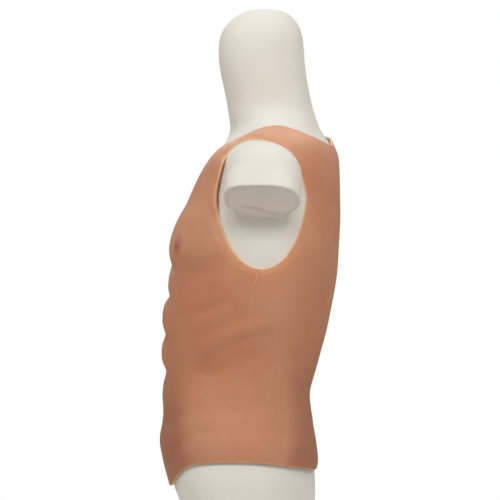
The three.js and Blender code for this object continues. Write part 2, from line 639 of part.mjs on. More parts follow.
// stud and five-lobed knob are one moulding
function socketThumbScrew() {
  const seat = SOCKET_BOSS_END + 0.6;
  const knob = lobedKnob({ radius: 15, lobes: 5, seat, depth: 12 });
  const stud = solid(disc(4, STUD_TIP, seat + 2, 12));
  return alongY(geometryOf(knob.add(stud)), SOCKET_SCREW_Z);
}
add("socket_thumb_screw", socketThumbScrew(), BLACK);

// elastic cord that gathers the cover under the torso
function coverCord() {
  const SIDES = 6;
  const z = 278.2;
  const inset = LIP_W + 2.3;
  const halfWidth = 1.5;
  const halfHeight = 1.3;
  const positions = [];
  const triangles = [];
  bottomEdge.forEach(({ x, y, nx, ny }, i) => {
    const next = (i + 1) % RING_COUNT;
    for (let k = 0; k < SIDES; k++) {
      const angle = (2 * Math.PI * k) / SIDES + Math.PI / 6;
      const out = halfWidth * Math.cos(angle) - inset;
      positions.push(x + nx * out, y + ny * out, z + halfHeight * Math.sin(angle));
      const kNext = (k + 1) % SIDES;
      const here = i * SIDES + k;
      const hereNext = i * SIDES + kNext;
      const ahead = next * SIDES + k;
      triangles.push(here, ahead, hereNext, hereNext, ahead, next * SIDES + kNext);
    }
  });
  return geometryOf(solid(indexedGeometry(positions, triangles)));
}
add("cover_cord", coverCord(), JERSEY);

// -------------------------------------------------------- silicone muscle vest
// outer ring of the vest, pushed out where it would be thinner than VEST_MIN
function vestRing(z) {
  const section = bodySection(z);
  const body = sectionRing(section, z);
  const [, , halfWidth, ...rest] = section;
  const vest = sectionRing([
    interpolate(VEST_FRONT, 1, z),
    interpolate(VEST_BACK, 1, z),
    halfWidth + VEST_SIDE,
    ...rest,
  ], z);
  const above = bodyRing(z + 1.5);
  const below = bodyRing(z - 1.5);
  const between = (from, to) => new THREE.Vector3(...to).sub(new THREE.Vector3(...from));
  return body.map((point, j) => {
    const before = body[(j + RING_COUNT - 1) % RING_COUNT];
    const around = between(before, body[(j + 1) % RING_COUNT]);
    const normal = around.cross(between(below[j], above[j])).normalize();
    const thickness = between(point, vest[j]).dot(normal);
    const outer = new THREE.Vector3(...vest[j]);
    if (thickness < VEST_MIN) outer.addScaledVector(normal, VEST_MIN - thickness);
    return outer.toArray();
  });
}

function vestBody() {
  const aboveNeckline = prismX([
    [-200, 887.5], ...NECKLINE, [200, 892], [200, 1000], [-200, 1000],
  ], -300, 300);
  const belowHem = prismX([
    [-200, 300], [200, 300], [200, 389], ...HEM.slice().reverse(), [-200, 364],
  ], -300, 300);
  return solid(loft(VEST_ROWS.map(vestRing)))
    .subtract(formSolid(-VEST_CLEAR, 60))
    .subtract(prismX(ARMHOLE, 100, 300))
    .subtract(prismX(ARMHOLE, -300, -100))
    .subtract(aboveNeckline)
    .subtract(belowHem);
}
addSplit("vest_", "_panel", vestBody(), VEST_SEAM, SILICONE);

// ----------------------------------------------------------------------- base
const PLATE_Z0 = FOOT_T + GAP;
const PLATE_Z1 = PLATE_Z0 + BASE_T;
const HUB_Z0 = PLATE_Z1 + GAP;
const BASE_BOLT_BORE_R = 5.4;

for (let i = 0; i < 4; i++) {
  const angle = Math.PI / 4 + (i * Math.PI) / 2;
  const pad = turned([
    [0, 0], [FOOT_D / 2, 0], [FOOT_D / 2, FOOT_T - 1], [FOOT_D / 2 - 1, FOOT_T], [0, FOOT_T],
  ], 12);
  pad.translate((FOOT_PCD / 2) * Math.cos(angle), (FOOT_PCD / 2) * Math.sin(angle), 0);
  add(`foot_pad_${i + 1}`, pad, RUBBER);
}

add("base_plate", turned([
  [BASE_BOLT_BORE_R, PLATE_Z0], [BASE_D / 2 - 1.5, PLATE_Z0], [BASE_D / 2, PLATE_Z0 + 1.5],
  [BASE_D / 2, PLATE_Z1 - 2], [BASE_D / 2 - 2, PLATE_Z1], [BASE_BOLT_BORE_R, PLATE_Z1],
], 40), STEEL);

// hub that covers the foot of the pole
const HUB_BORE_R = OUTER_POLE_R + 0.4;
add("base_hub", turned([
  [HUB_BORE_R, HUB_Z0], [42, HUB_Z0], [42, HUB_Z0 + 4], [30, HUB_Z0 + 9], [24, HUB_Z0 + 16],
  [23, HUB_Z0 + 32], [HUB_BORE_R, HUB_Z0 + 32],
]), CHROME);

const OUTER_POLE_BORE_R = OUTER_POLE_R - POLE_WALL;
add("outer_pole", tube(OUTER_POLE_R, OUTER_POLE_BORE_R, HUB_Z0, OUTER_POLE_TOP), CHROME);

add("pole_plug", turned([
  [BASE_BOLT_BORE_R, HUB_Z0 + 0.2], [16.9, HUB_Z0 + 0.2], [16.9, HUB_Z0 + 22],
  [BASE_BOLT_BORE_R, HUB_Z0 + 22],
], 16), ZINC);

add("base_bolt", turned([
  [0, 1.2], [7.2, 1.2], [8, 1.8], [8, 3.6], [4.9, 3.6], [4.9, HUB_Z0 + 19], [4, HUB_Z0 + 20],
  [0, HUB_Z0 + 20],
], 12), ZINC);

// ---------------------------------------------------------------- height lock
// guide bush pressed in the mouth of the lower tube
const BUSH_BORE_R = 16.25;
const BUSH_R = OUTER_POLE_BORE_R - GAP;
const BUSH_TOP = OUTER_POLE_TOP + 3;
add("guide_bush", turned([
  [BUSH_BORE_R, OUTER_POLE_TOP - 24], [BUSH_R, OUTER_POLE_TOP - 24],
  [BUSH_R, OUTER_POLE_TOP + GAP], [OUTER_POLE_R, OUTER_POLE_TOP + GAP],
  [OUTER_POLE_R, BUSH_TOP], [BUSH_BORE_R, BUSH_TOP],
]), NYLON);

const LOCK_Z = OUTER_POLE_TOP + 8.5;    // height knob axis, just above the bush
const LOCK_BOSS_END = 38;

// collar clamps the mouth of the lower tube; its boss carries the height knob
function lockCollar() {
  const poleBoreR = OUTER_POLE_R + 0.35;
  const stepZ = BUSH_TOP + 0.4;
  const body = solid(turned([
    [poleBoreR, COLLAR_Z0], [25, COLLAR_Z0], [COLLAR_D / 2, COLLAR_Z0 + 2],
    [COLLAR_D / 2, COLLAR_Z1 - 2], [25, COLLAR_Z1], [SLIDE_BORE_R, COLLAR_Z1],
    [SLIDE_BORE_R, stepZ], [poleBoreR, stepZ],
  ]));
  const clear = solid(disc(poleBoreR, COLLAR_Z0 - 5, stepZ))
    .add(solid(disc(SLIDE_BORE_R, COLLAR_Z0 - 5, COLLAR_Z1 + 10)));
  const boss = rodY(9, 20, LOCK_BOSS_END, LOCK_Z - 3).subtract(clear);
  return geometryOf(body.add(boss).subtract(rodY(STUD_BORE_R, 10, 50, LOCK_Z)));
}
add("lock_collar", lockCollar(), BLACK);

// six-lobed knob, bored for a separate stud
function heightKnob() {
  const knob = lobedKnob({ radius: 21, lobes: 6, seat: LOCK_BOSS_END + 0.4, depth: 15 });
  return alongY(geometryOf(knob.subtract(solid(disc(4.3, 30, 49, 12)))), LOCK_Z);
}
add("height_knob", heightKnob(), BLACK);
const heightStud = geometryOf(solid(disc(3.9, STUD_TIP, 48.5, 12)));
add("height_knob_stud", alongY(heightStud, LOCK_Z), ZINC);

// ----------------------------------------------------------------- inner pole
const INNER_POLE_BORE_R = INNER_POLE_R - POLE_WALL;
const PLUG_R = INNER_POLE_BORE_R - 0.4;    // glide and cap plug into the tube ends
add("inner_pole",
  tube(INNER_POLE_R, INNER_POLE_BORE_R, INNER_POLE_Z0, INNER_POLE_Z1 - 0.4), CHROME);

add("pole_glide", turned([
  [0, INNER_POLE_Z0 - 3.4], [16.6, INNER_POLE_Z0 - 3.4], [16.9, INNER_POLE_Z0 - 2],
  [16.9, INNER_POLE_Z0 - 0.4], [PLUG_R, INNER_POLE_Z0 - 0.4], [PLUG_R, INNER_POLE_Z0 + 16],
  [0, INNER_POLE_Z0 + 16],
], 16), NYLON);

add("pole_cap", turned([
  [0, INNER_POLE_Z1 - 16], [PLUG_R, INNER_POLE_Z1 - 16], [PLUG_R, INNER_POLE_Z1],
  [15.6, INNER_POLE_Z1], [12.4, INNER_POLE_Z1 + 3.2], [0, INNER_POLE_Z1 + 3.2],
], 16), STEEL);

export default root;
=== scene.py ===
# A torso form with a head and two arm stumps, in a jersey cover and a silicone muscle vest,
# on a telescopic stand with a round base. It stands on z = 0, faces -Y and has its left side
# towards +X. Shapes are in mm (MM turns them into metres); lights and camera are in metres.
import json
import math
from collections import defaultdict
from contextlib import contextmanager
import bpy
import bmesh
import numpy as np
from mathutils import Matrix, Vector


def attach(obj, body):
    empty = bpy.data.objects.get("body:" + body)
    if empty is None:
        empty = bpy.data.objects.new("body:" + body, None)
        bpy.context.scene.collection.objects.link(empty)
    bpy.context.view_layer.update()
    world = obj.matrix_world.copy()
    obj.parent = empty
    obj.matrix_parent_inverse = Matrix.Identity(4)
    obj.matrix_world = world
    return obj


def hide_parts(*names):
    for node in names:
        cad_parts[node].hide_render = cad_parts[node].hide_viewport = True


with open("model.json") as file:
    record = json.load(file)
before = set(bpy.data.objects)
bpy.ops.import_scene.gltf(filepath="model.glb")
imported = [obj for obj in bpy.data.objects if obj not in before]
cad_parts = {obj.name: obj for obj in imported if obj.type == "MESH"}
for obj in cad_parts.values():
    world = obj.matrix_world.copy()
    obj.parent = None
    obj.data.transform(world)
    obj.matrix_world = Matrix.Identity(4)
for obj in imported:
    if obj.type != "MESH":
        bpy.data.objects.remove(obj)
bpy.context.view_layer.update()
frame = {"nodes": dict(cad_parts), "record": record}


MM = 0.001


def table(columns, text):
    """Rows of numbers from plain text."""
    return np.array(text.split(), float).reshape(-1, columns)


# ------------------------------------------------------------------ design tables (mm)
# torso and head stations: z, front y, rear y, half width, y of the widest point,
# superellipse power in front of that point, power behind it
BODY_KEYS = ("front", "rear", "width", "side", "front_power", "rear_power")
BODY = table(7, """
    279.6 -88.1 92.8 167 0 2.3 2.4          310.8 -94.5 98 171.5 -6 2.3 2.45
    338.9 -103.6 100.5 173 -11 2.3 2.5      357.6 -111.2 100.9 172.5 -13.5 2.3 2.5
    376.3 -118.2 100.6 170.5 -15.5 2.3 2.5  396.6 -125.4 99.5 167 -17 2.3 2.45
    420 -129 97.3 161.5 -16.5 2.3 2.4       451.2 -127.4 93 153 -15 2.3 2.35
    482.4 -124.2 88 145.5 -12.5 2.3 2.3     502.7 -122.9 86.1 143 -11 2.3 2.25
    521.4 -122 88.6 142.5 -8.5 2.3 2.25     552.6 -120.5 97 144.5 -4 2.3 2.25
    591.6 -117.8 107.5 150.5 2 2.35 2.25    630.6 -113.4 116.7 158 9 2.4 2.3
    669.6 -108.8 123.7 166 15.5 2.45 2.35   703.9 -105.7 128.2 170 21 2.5 2.4
    732 -102.8 130.9 171 24 2.55 2.4        755.4 -99 132.6 169 26.5 2.55 2.35
    778.8 -93.6 133.8 166 28.5 2.5 2.3      802.2 -87.3 134.8 164 30 2.4 2.25
    825.6 -80.4 134.9 165 30 2.3 2.2        847.4 -71.9 134.5 168 29 2.2 2.15
    863 -64.1 133.5 169.5 27.5 2.1 2.05     875.5 -56.2 131.8 168 26 1.95 1.9
    884.9 -49 129.3 164 26 1.82 1.75        891.1 -44.1 127 157.5 27.5 1.72 1.64
    897.4 -40 123.9 146 31 1.62 1.55        903.6 -36.3 120.1 130.5 36 1.54 1.5
    909.8 -33.3 115.9 114 41 1.5 1.52       916.1 -31.3 112 99 44 1.52 1.58
    922.3 -30.7 108.3 86.5 45 1.6 1.68      928.6 -30.9 105.8 76 43 1.72 1.8
    934.8 -31.7 103.7 69 39.5 1.85 1.9      941 -32.6 101.6 64 36 1.95 1.95
    948.8 -33.7 98.9 60 33 2 2              959.8 -35.4 96.3 57.5 30 2 2
    981.6 -40.1 91.4 56 25 2.05 2           1005 -45.1 87.7 55.5 20.5 2.1 2
    1028.4 -48.4 85 55 18 2.1 2.05          1048.7 -48.8 83.6 54 17.5 2.1 2.05
    1062.7 -47 82.1 52 17.5 2.05 2.05       1072.1 -43.5 79.7 49.5 18 2 2
    1081.4 -37.3 75.8 45.5 19 2 2           1090.8 -28.5 69.6 39.5 20.5 2 2
    1095.5 -22.5 65.5 35 21.5 2 2           1100.2 -14.5 58.5 29 22 2 2
    1104.8 -2.5 48.4 20 23 2 2              1107 12.5 32.8 8 23 2 2
    1108 23.1 23.7 0.3 23 2 2""")
TORSO_LOW = 279.6
# vest centre line in front: z, y
VEST_FRONT_LINE = table(2, """
    357.6 -119  370.1 -123.1  379.4 -125.9  388.8 -128.5  398.2 -131.4  407.5 -133.7
    416.9 -135.7  426.2 -137.7  435.6 -139  445 -138.9  454.3 -137.4  463.7 -135.6
    473 -133.9  482.4 -132.8  491.8 -132.8  501.1 -133.6  510.5 -134  519.8 -133.2
    529.2 -132.1  538.6 -130.1  544.8 -129.4  549.5 -130.1  557.3 -132.5  566.6 -134.3
    576 -134.5  585.4 -133.8  594.7 -132.2  599.4 -130.7  602.5 -130.1  607.2 -130.7
    613.4 -131.9  622.8 -132.7  632.2 -132.4  641.5 -131.1  650.9 -128.7  657.1 -125.6
    661.8 -123.2  664.9 -122.6  668 -123  672.7 -123.9  679 -124.4  688.3 -123.4
    694.6 -121  699.2 -118.2  702.4 -117.3  705.5 -118.4  710.2 -120.7  716.4 -122.6
    725.8 -123.9  735.1 -123.7  744.5 -122.5  753.8 -120.3  763.2 -117.3  772.6 -113.7
    781.9 -109.2  791.3 -104  800.6 -98.4  810 -94.2  819.4 -90.3  828.7 -86.1
    838.1 -81.9  847.4 -77.2  856.8 -71.8  866.2 -65.2  875.5 -58  884.9 -51.2
    894.2 -41.6  911.4 -34.5  937.9 -32.6""")
# the same line with the abdominal creases and the fold under the chest bridged over
VEST_BRIDGED_LINE = table(2, """
    357.6 -119  370.1 -123.1  388.8 -128.5  407.5 -133.7  426.2 -137.7  440 -139
    454.3 -137.6  473 -135.3  491.8 -134.5  510.5 -134.4  530 -134.4  551 -134.6
    574 -134.7  598 -134.1  622.8 -132.8  641.5 -131  660 -127.6  679 -124.9
    697 -123.8  712 -123.9  725.8 -124.1  735.1 -123.8  744.5 -122.5  753.8 -120.3
    763.2 -117.3  772.6 -113.7  781.9 -109.2  791.3 -104  800.6 -98.4  810 -94.2
    819.4 -90.3  828.7 -86.1  838.1 -81.9  847.4 -77.2  856.8 -71.8  866.2 -65.2
    875.5 -58  884.9 -51.2  894.2 -41.6  911.4 -34.5  937.9 -32.6""")
# vest centre line behind: z, y
VEST_REAR_LINE = table(2, """
    357.6 102.3  385.7 102.3  390.4 103  395 105  401.3 105.9  407.5 105.8  416.9 105
    435.6 102.6  454.3 99.2  473 95.9  482.4 93.9  491.8 92.5  501.1 91.7  508.9 91.9
    516.7 93  526.1 95.6  538.6 99.4  557.3 104.7  576 109.7  594.7 115  613.4 119.5
    632.2 123.2  650.9 126.8  669.6 130.3  688.3 133.1  707 135.1  725.8 136.8
    744.5 137.9  763.2 139  781.9 140.1  800.6 140.6  828.7 140.4  847.4 139.9
    866.2 139.2  875.5 138.1  884.9 135.6  894.2 131  903.6 124.8  913 119
    925.4 111.5  937.9 105.5""")
# openings of the vest, seen from the side: y, z
ARMHOLE = table(2, """
    17.7 897.2  3 896.2  -9.4 891.4  -19.4 884  -24.8 876.4  -28.6 868  -32.5 854.7
    -36.6 837.7  -40.2 820.6  -41.4 806.8  -39.7 789.8  -35.5 772.6  -28.2 755.6
    -19.4 738.6  -9.1 725.1  2.7 715.1  14.7 708.3  26.5 705.3  39.9 706.6  53.2 713.3
    64.8 723.5  74.9 738.6  83 755.6  89.5 776.1  92.7 793.2  94.4 810.1  92.7 823.9
    88.6 837.2  82.9 850.6  74.6 864  63 875.8  49.4 886  35.6 893""")
COLLAR = table(2, """
    -90 884.5  -60 886  -52 887.5  -44.6 889.5  -31.1 895.3  -14.8 902.6  0.7 908.8
    13.7 915  30.4 920.1  47 921.6  59.9 920.5  72.8 916.5  87.5 910.4  103.3 903.7
    114.5 898.6  123.5 894.4  140 889.5""")
HEM = table(2, """
    -140 366.5  -126 367.5  -121 369.2  -116 373  -111 379  -106.8 384.3  -102.7 390.6
    -98.9 395.6  -93.5 401  -88.6 405.4  -78.9 411.3  -67.8 414.1  -40.3 417.1
    -10.6 418.3  26 416.5  47.7 413.4  69 409.1  90 403.2  99.4 397.5  103 394
    108 390  130 389""")
# joint between the front and back panels: z, y
SEAM = table(2, """
    340 -18  418 -18  451 -15.7  509 -10.6  561.5 0.1  606 8  651 13.1  683.5 20.1
    704 23.9  740 26  880 28  896 29  922 34  945 36""")
COLLAR_SKEW = 15.5      # the collar rides up a little behind the right shoulder
NIPPLE = (114.5, 739.5)  # |x|, z

STUMP_JOINT = np.array([158.0, 31.0, 842.0])
STUMP_TILT = math.radians(33)
STUMP_ACROSS = np.array([math.cos(STUMP_TILT), 0, math.sin(STUMP_TILT)])
STUMP_AXIS = np.array([math.sin(STUMP_TILT), 0, -math.cos(STUMP_TILT)])  # to the flat end
STUMP_LENGTH = 52.0
STUMP_OUTER = 48.0      # half breadth on the outer side
STUMP_UNDER = 30.0      # half breadth of the flat end on its under side
STUMP_DEPTH = 55.5      # half size fore and aft
STUMP_POWERS = (3.9, 2.8, 1.75, 2.1)  # at the end: outer fore, outer rear, under fore, under rear
STUMP_ROUND = 2.2       # radius round the rim of the flat end
END_CROWN = 1.2         # rise of the flat end in its middle


# ------------------------------------------------------------------ numeric helpers
def monotone_cubic(knots, values, at):
    """Monotone cubic through the knots."""
    gaps = np.diff(knots)
    slopes = np.diff(values) / gaps
    tangents = np.zeros_like(values)
    for i in range(1, len(knots) - 1):
        if slopes[i - 1] * slopes[i] > 0:
            before, after = 2 * gaps[i] + gaps[i - 1], gaps[i] + 2 * gaps[i - 1]
            tangents[i] = (before + after) / (before / slopes[i - 1] + after / slopes[i])
    tangents[0], tangents[-1] = slopes[0], slopes[-1]
    at = np.clip(at, knots[0], knots[-1])
    i = np.clip(np.searchsorted(knots, at, side="right") - 1, 0, len(knots) - 2)
    t = (at - knots[i]) / gaps[i]
    return ((1 + 2 * t) * (1 - t) ** 2 * values[i] + t * (1 - t) ** 2 * gaps[i] * tangents[i]
            + t * t * (3 - 2 * t) * values[i + 1]
            + t * t * (t - 1) * gaps[i] * tangents[i + 1])


def blur(values, sigma):
    reach = int(4 * sigma) + 1
    kernel = np.exp(-0.5 * (np.arange(-reach, reach + 1) / sigma) ** 2)
    kernel /= kernel.sum()
    return np.convolve(np.pad(values, reach, mode="edge"), kernel, "valid")


def ring_blur(grid, sigmas):
    """Blur each ring of a (rings, columns, 3) grid by its own sigma, in columns."""
    columns = grid.shape[1]
    waves = np.fft.rfftfreq(columns)[None, :, None]
    damping = np.exp(-2 * (np.pi * waves * sigmas[:, None, None]) ** 2)
    return np.fft.irfft(np.fft.rfft(grid, axis=1) * damping, n=columns, axis=1)


def ease(value, start, end):
    """Smooth step: 0 at start, 1 at end. Start may lie above end."""
    t = np.clip((value - start) / (end - start), 0, 1)
    return t * t * (3 - 2 * t)


def bell(value, centre, width):
    return np.exp(-((value - centre) / width) ** 2)


def lookup(at, text):
    """Linear interpolation in a text table of place, value."""
    rows = table(2, text)
    return np.interp(at, rows[:, 0], rows[:, 1])


def resample(line, closed=False):
    """Catmull-Rom curve through a flat line, five points to a span."""
    count = len(line)
    steps = 5
    curve = []
    for i in range(count if closed else count - 1):
        near = [i - 1, i, i + 1, i + 2]
        near = [k % count if closed else min(max(k, 0), count - 1) for k in near]
        p0, p1, p2, p3 = line[near]
        for k in range(steps):
            t = k / steps
            curve.append(0.5 * ((2 * p1) + (-p0 + p2) * t + (2 * p0 - 5 * p1 + 4 * p2 - p3) * t * t
                                + (-p0 + 3 * p1 - 3 * p2 + p3) * t ** 3))
    if not closed:
        curve.append(line[-1])
    return np.array(curve)


def nearest(points, line, closed=False):
    """Distance of each point to the line, and where along it (0..1)."""
    starts = line if closed else line[:-1]
    ends = np.roll(line, -1, 0) if closed else line[1:]
    best = np.full(len(points), 1e9)
    place = np.zeros(len(points))
    for i, (start, end) in enumerate(zip(starts, ends)):
        span = end - start
        t = np.clip(((points - start) @ span) / (span @ span), 0, 1)
        distance = np.hypot(*(points - (start + t[:, None] * span)).T)
        closer = distance < best
        best[closer] = distance[closer]
        place[closer] = (i + t[closer]) / len(starts)
    return best, place


def inside(points, polygon):
    x, y = points.T
    within = np.zeros(len(points), bool)
    for (x1, y1), (x2, y2) in zip(polygon, np.roll(polygon, 1, 0)):
        if y1 != y2:
            within ^= ((y1 > y) != (y2 > y)) & (x < (x2 - x1) * (y - y1) / (y2 - y1) + x1)
    return within


# ------------------------------------------------------------------ smoothed profiles
# body profile at every millimetre, smoothed except near the crown of the head
BODY_Z = np.arange(240.0, 1108.01, 1.0)
CROWN_SHARE = ease(BODY_Z, 1040, 1075)
BODY_CURVES = {}
for column, key in enumerate(BODY_KEYS, 1):
    curve = monotone_cubic(BODY[:, 0], BODY[:, column], BODY_Z)
    BODY_CURVES[key] = blur(curve, 5.0) * (1 - CROWN_SHARE) + curve * CROWN_SHARE

VEST_Z = np.arange(340.0, 940.01, 0.5)


def vest_curve(line, sigma):
    return blur(monotone_cubic(line[:, 0], line[:, 1], VEST_Z), sigma)


VEST_FRONT = vest_curve(VEST_FRONT_LINE, 3.0)
VEST_BRIDGED = vest_curve(VEST_BRIDGED_LINE, 8.0)
VEST_REAR = vest_curve(VEST_REAR_LINE, 6.0)


def body(z):
    return {key: np.interp(z, BODY_Z, curve) for key, curve in BODY_CURVES.items()}


def half_ring(section, seam_y, front, rear):
    """x and y from the front centre round the left side to the rear centre.

    front and rear are fractions of the arc before and after the seam."""
    angle = np.linspace(0, math.pi / 2, 901)
    sine, cosine = np.sin(angle), np.cos(angle)

    def quarter(depth, power):
        radius = (sine ** power + cosine ** power) ** (-1 / power)
        return section["width"] * radius * sine, depth * radius * cosine
    front_x, front_y = quarter(section["front"] - section["side"], section["front_power"])
    rear_x, rear_y = quarter(section["rear"] - section["side"], section["rear_power"])
    x = np.concatenate([front_x, rear_x[::-1][1:]])
    y = section["side"] + np.concatenate([front_y, rear_y[::-1][1:]])
    arc = np.concatenate([[0], np.cumsum(np.hypot(np.diff(x), np.diff(y)))])
    seam = np.interp(seam_y, y, arc)
    places = np.concatenate([front * seam, seam + rear[1:] * (arc[-1] - seam)])
    return np.interp(places, arc, x), np.interp(places, arc, y)


def ring_grid(levels, shape, seam_y, front, rear):
    """Closed rings, counter-clockwise from the front centre: (rings, columns, 3)."""
    half = len(front) + len(rear) - 1
    grid = np.zeros((len(levels), 2 * half - 2, 3))
    for i, level in enumerate(levels):
        section = {key: values[i] for key, values in shape.items()}
        x, y = half_ring(section, seam_y[i], front, rear)
        x[0] = x[-1] = 0
        grid[i, :half, 0], grid[i, :half, 1] = x, y
        grid[i, half:, 0], grid[i, half:, 1] = -x[1:-1][::-1], y[1:-1][::-1]
        grid[i, :, 2] = level
    return grid


def grid_normals(grid):
    around = np.roll(grid, -1, 1) - np.roll(grid, 1, 1)
    normals = np.cross(around, np.gradient(grid, axis=0))
    return normals / np.linalg.norm(normals, axis=2, keepdims=True)


# ------------------------------------------------------------------ solid fields
def torso_level(x, y, z):
    """1 on the skin of the torso and head, less inside."""
    shape = body(z)
    side = shape["side"]
    fore = y < side
    depth = np.where(fore, side - shape["front"], shape["rear"] - side)
    power = np.where(fore, shape["front_power"], shape["rear_power"])
    return ((np.abs(x) / shape["width"]) ** power
            + (np.abs(y - side) / depth) ** power) ** (1 / power)


def torso_field(points):
    """Signed distance estimate to the torso and head."""
    x, y, z = points.T
    step = 1.5
    slope = np.stack([torso_level(x + step, y, z) - torso_level(x - step, y, z),
                      torso_level(x, y + step, z) - torso_level(x, y - step, z),
                      torso_level(x, y, z + step) - torso_level(x, y, z - step)], 1) / (2 * step)
    return (torso_level(x, y, z) - 1) / np.maximum(np.linalg.norm(slope, axis=1), 1e-4)


def stump_local(points):
    """Coordinates across, fore-and-aft and along the axis of the stump, on either side."""
    local = points.copy()
    local[:, 0] = np.abs(local[:, 0])
    local = local - STUMP_JOINT
    return local @ STUMP_ACROSS, local[:, 1], local @ STUMP_AXIS


def stump_level(across, fore, along):
    """Section level (1 on the side) and its slopes.

    An ellipse at the shoulder, squarer outside and flatter below towards the end."""
    change = ease(along, 0, 42)
    forward = ease(-fore, -12, 12)
    outer, under = ease(across, -4, 14), ease(-across, -4, 14)
    outer_fore, outer_rear, under_fore, under_rear = STUMP_POWERS
    power = 2.0 + change * (outer * (outer_rear - 2 + (outer_fore - outer_rear) * forward)
                            + under * (under_rear - 2 + (under_fore - under_rear) * forward))
    half = np.where(across > 0, STUMP_OUTER, STUMP_OUTER - (STUMP_OUTER - STUMP_UNDER) * change)
    u, v = np.abs(across) / half + 1e-6, np.abs(fore) / STUMP_DEPTH + 1e-6
    level = (u ** power + v ** power) ** (1 / power)
    return (level, (u / level) ** (power - 1) / half,
            (v / level) ** (power - 1) / STUMP_DEPTH)


def stump_edge(along, angle):
    """Across and fore-and-aft place of a point on the stump's section."""
    change = float(ease(along, 0, 42))
    cosine, sine = math.cos(angle), math.sin(angle)
    outer, fore = cosine > 1e-6, sine < 0
    power = 2.0 + change * (STUMP_POWERS[(0 if outer else 2) + (0 if fore else 1)] - 2)
    half = STUMP_OUTER if outer else STUMP_OUTER - (STUMP_OUTER - STUMP_UNDER) * change
    radius = (abs(cosine) ** power + abs(sine) ** power) ** (-1 / power)
    return half * radius * cosine, STUMP_DEPTH * radius * sine


def end_creases(across, fore):
    """Depth of the folds and dimples in the slack fabric on the flat end."""
    level = stump_level(across, fore, np.full_like(across, STUMP_LENGTH))[0]
    edge_fade = np.clip(1.03 - level ** 2, 0, 1) ** 0.4
    # one long overlapping fold that runs down towards the rear
    off = across - lookup(fore, "-60 4  -34 -1  -18 -1  -8 -4  0 -9  12 -17  20 -20  34 -19"
                                " 48 -12  60 -6")
    reach = ease(fore, -42, -18) * (1 - ease(fore, 42, 54))
    lap = ease(off, -2.6, 1.9)
    depth = (lap * (1.7 - 3.1 * ease(off, 0, 15) + 1.4 * ease(off, 18, 44))
             - 4.0 * (1 - lap) * np.exp(-np.clip(-off, 0, None) / 8.5)) * reach
    # dimples near the outer edge and in the middle, with a swelling between them
    depth += (1.1 * bell(across, 36, 5) * bell(fore, -23, 10)
              + 1.2 * bell(across, 36, 5) * bell(fore, 20, 11))
    depth += 0.9 * bell(across, 13, 8) * bell(fore, -5, 12)
    depth -= 2.2 * bell(across, 25, 7) * (0.4 + 0.6 * bell(fore, 0, 30))
    # slanting dimples to the rear and to the front
    depth += 0.8 * bell(across - 0.35 * fore, 10, 4) * bell(fore, 26, 12)
    depth += 0.6 * bell(across + 0.5 * fore, -4, 4) * bell(fore, -34, 10)
    # faint all-over waviness
    depth += (0.3 * np.sin(across / 6.5 + 1.6 * np.sin(fore / 17.0))
              * np.cos(fore / 21.0 + across / 27.0))
    return np.minimum(depth, 1.7) * edge_fade


def stump_field(points):
    across, fore, along = stump_local(points)
    above = np.minimum(along, 0) / STUMP_OUTER
    level, slope_across, slope_fore = stump_level(across, fore, along)
    radius = np.sqrt(level * level + above * above) + 1e-9
    slope = np.sqrt((level / radius * slope_across) ** 2 + (level / radius * slope_fore) ** 2
                    + (above / radius / STUMP_OUTER) ** 2)
    side = np.maximum((radius - 1) / np.maximum(slope, 1e-4), -30)
    crown = END_CROWN * (1 - np.clip(level * level, 0, 1))
    end = along - (STUMP_LENGTH - END_CROWN) - crown + end_creases(across, fore)
    both = np.stack([side + STUMP_ROUND, end + STUMP_ROUND], 1)
    return (np.linalg.norm(np.maximum(both, 0), axis=1) + np.minimum(both.max(1), 0)
            - STUMP_ROUND)


def field(points):
    """Signed distance estimate to the whole form, with a fillet at the shoulders."""
    fillet = 9.0
    torso, stump = torso_field(points), stump_field(points)
    blend = np.clip(fillet - np.abs(torso - stump), 0, None) / fillet
    return np.minimum(torso, stump) - blend * blend * fillet / 4


def field_slope(points):
    step = 0.8
    slope = np.zeros_like(points)
    for k in range(3):
        shift = np.zeros(3)
        shift[k] = step
        slope[:, k] = (field(points + shift) - field(points - shift)) / (2 * step)
    return slope


def outward(points):
    """Unit direction away from the form."""
    slope = field_slope(points)
    return slope / np.maximum(np.linalg.norm(slope, axis=1, keepdims=True), 1e-6)


# ------------------------------------------------------------------ mesh helpers
def smooth(ob):
    ob.data.polygons.foreach_set("use_smooth", [True] * len(ob.data.polygons))


def sharpen(ob, degrees):
    """Mark edges sharper than this angle."""
    ob.data.set_sharp_from_angle(angle=math.radians(degrees))


def new_object(name, verts, faces):
    mesh = bpy.data.meshes.new(name)
    mesh.from_pydata((np.asarray(verts, float) * MM).tolist(), [], faces)
    mesh.validate(clean_customdata=False)
    mesh.update()
    ob = bpy.data.objects.new(name, mesh)
    bpy.context.scene.collection.objects.link(ob)
    smooth(ob)
    return ob


@contextmanager
def editing(ob):
    """A bmesh of the object, written back afterwards."""
    bm = bmesh.new()
    bm.from_mesh(ob.data)
    yield bm
    bm.to_mesh(ob.data)
    bm.free()


def recalc_normals(ob):
    with editing(ob) as bm:
        bmesh.ops.recalc_face_normals(bm, faces=bm.faces)


def select_only(*chosen):
    bpy.context.view_layer.objects.active = chosen[0]
    for ob in bpy.context.selected_objects:
        ob.select_set(False)
    for ob in chosen:
        ob.select_set(True)


def apply_modifiers(ob):
    select_only(ob)
    for modifier in list(ob.modifiers):
        bpy.ops.object.modifier_apply(modifier=modifier.name)
    ob.select_set(False)


def boolean(ob, tool, operation="DIFFERENCE"):
    """Cut or join with the tool, then remove the tool."""
    modifier = ob.modifiers.new("b", "BOOLEAN")
    modifier.operation = operation
    modifier.object = tool
    modifier.solver = "EXACT"
    apply_modifiers(ob)
    bpy.data.objects.remove(tool, do_unlink=True)


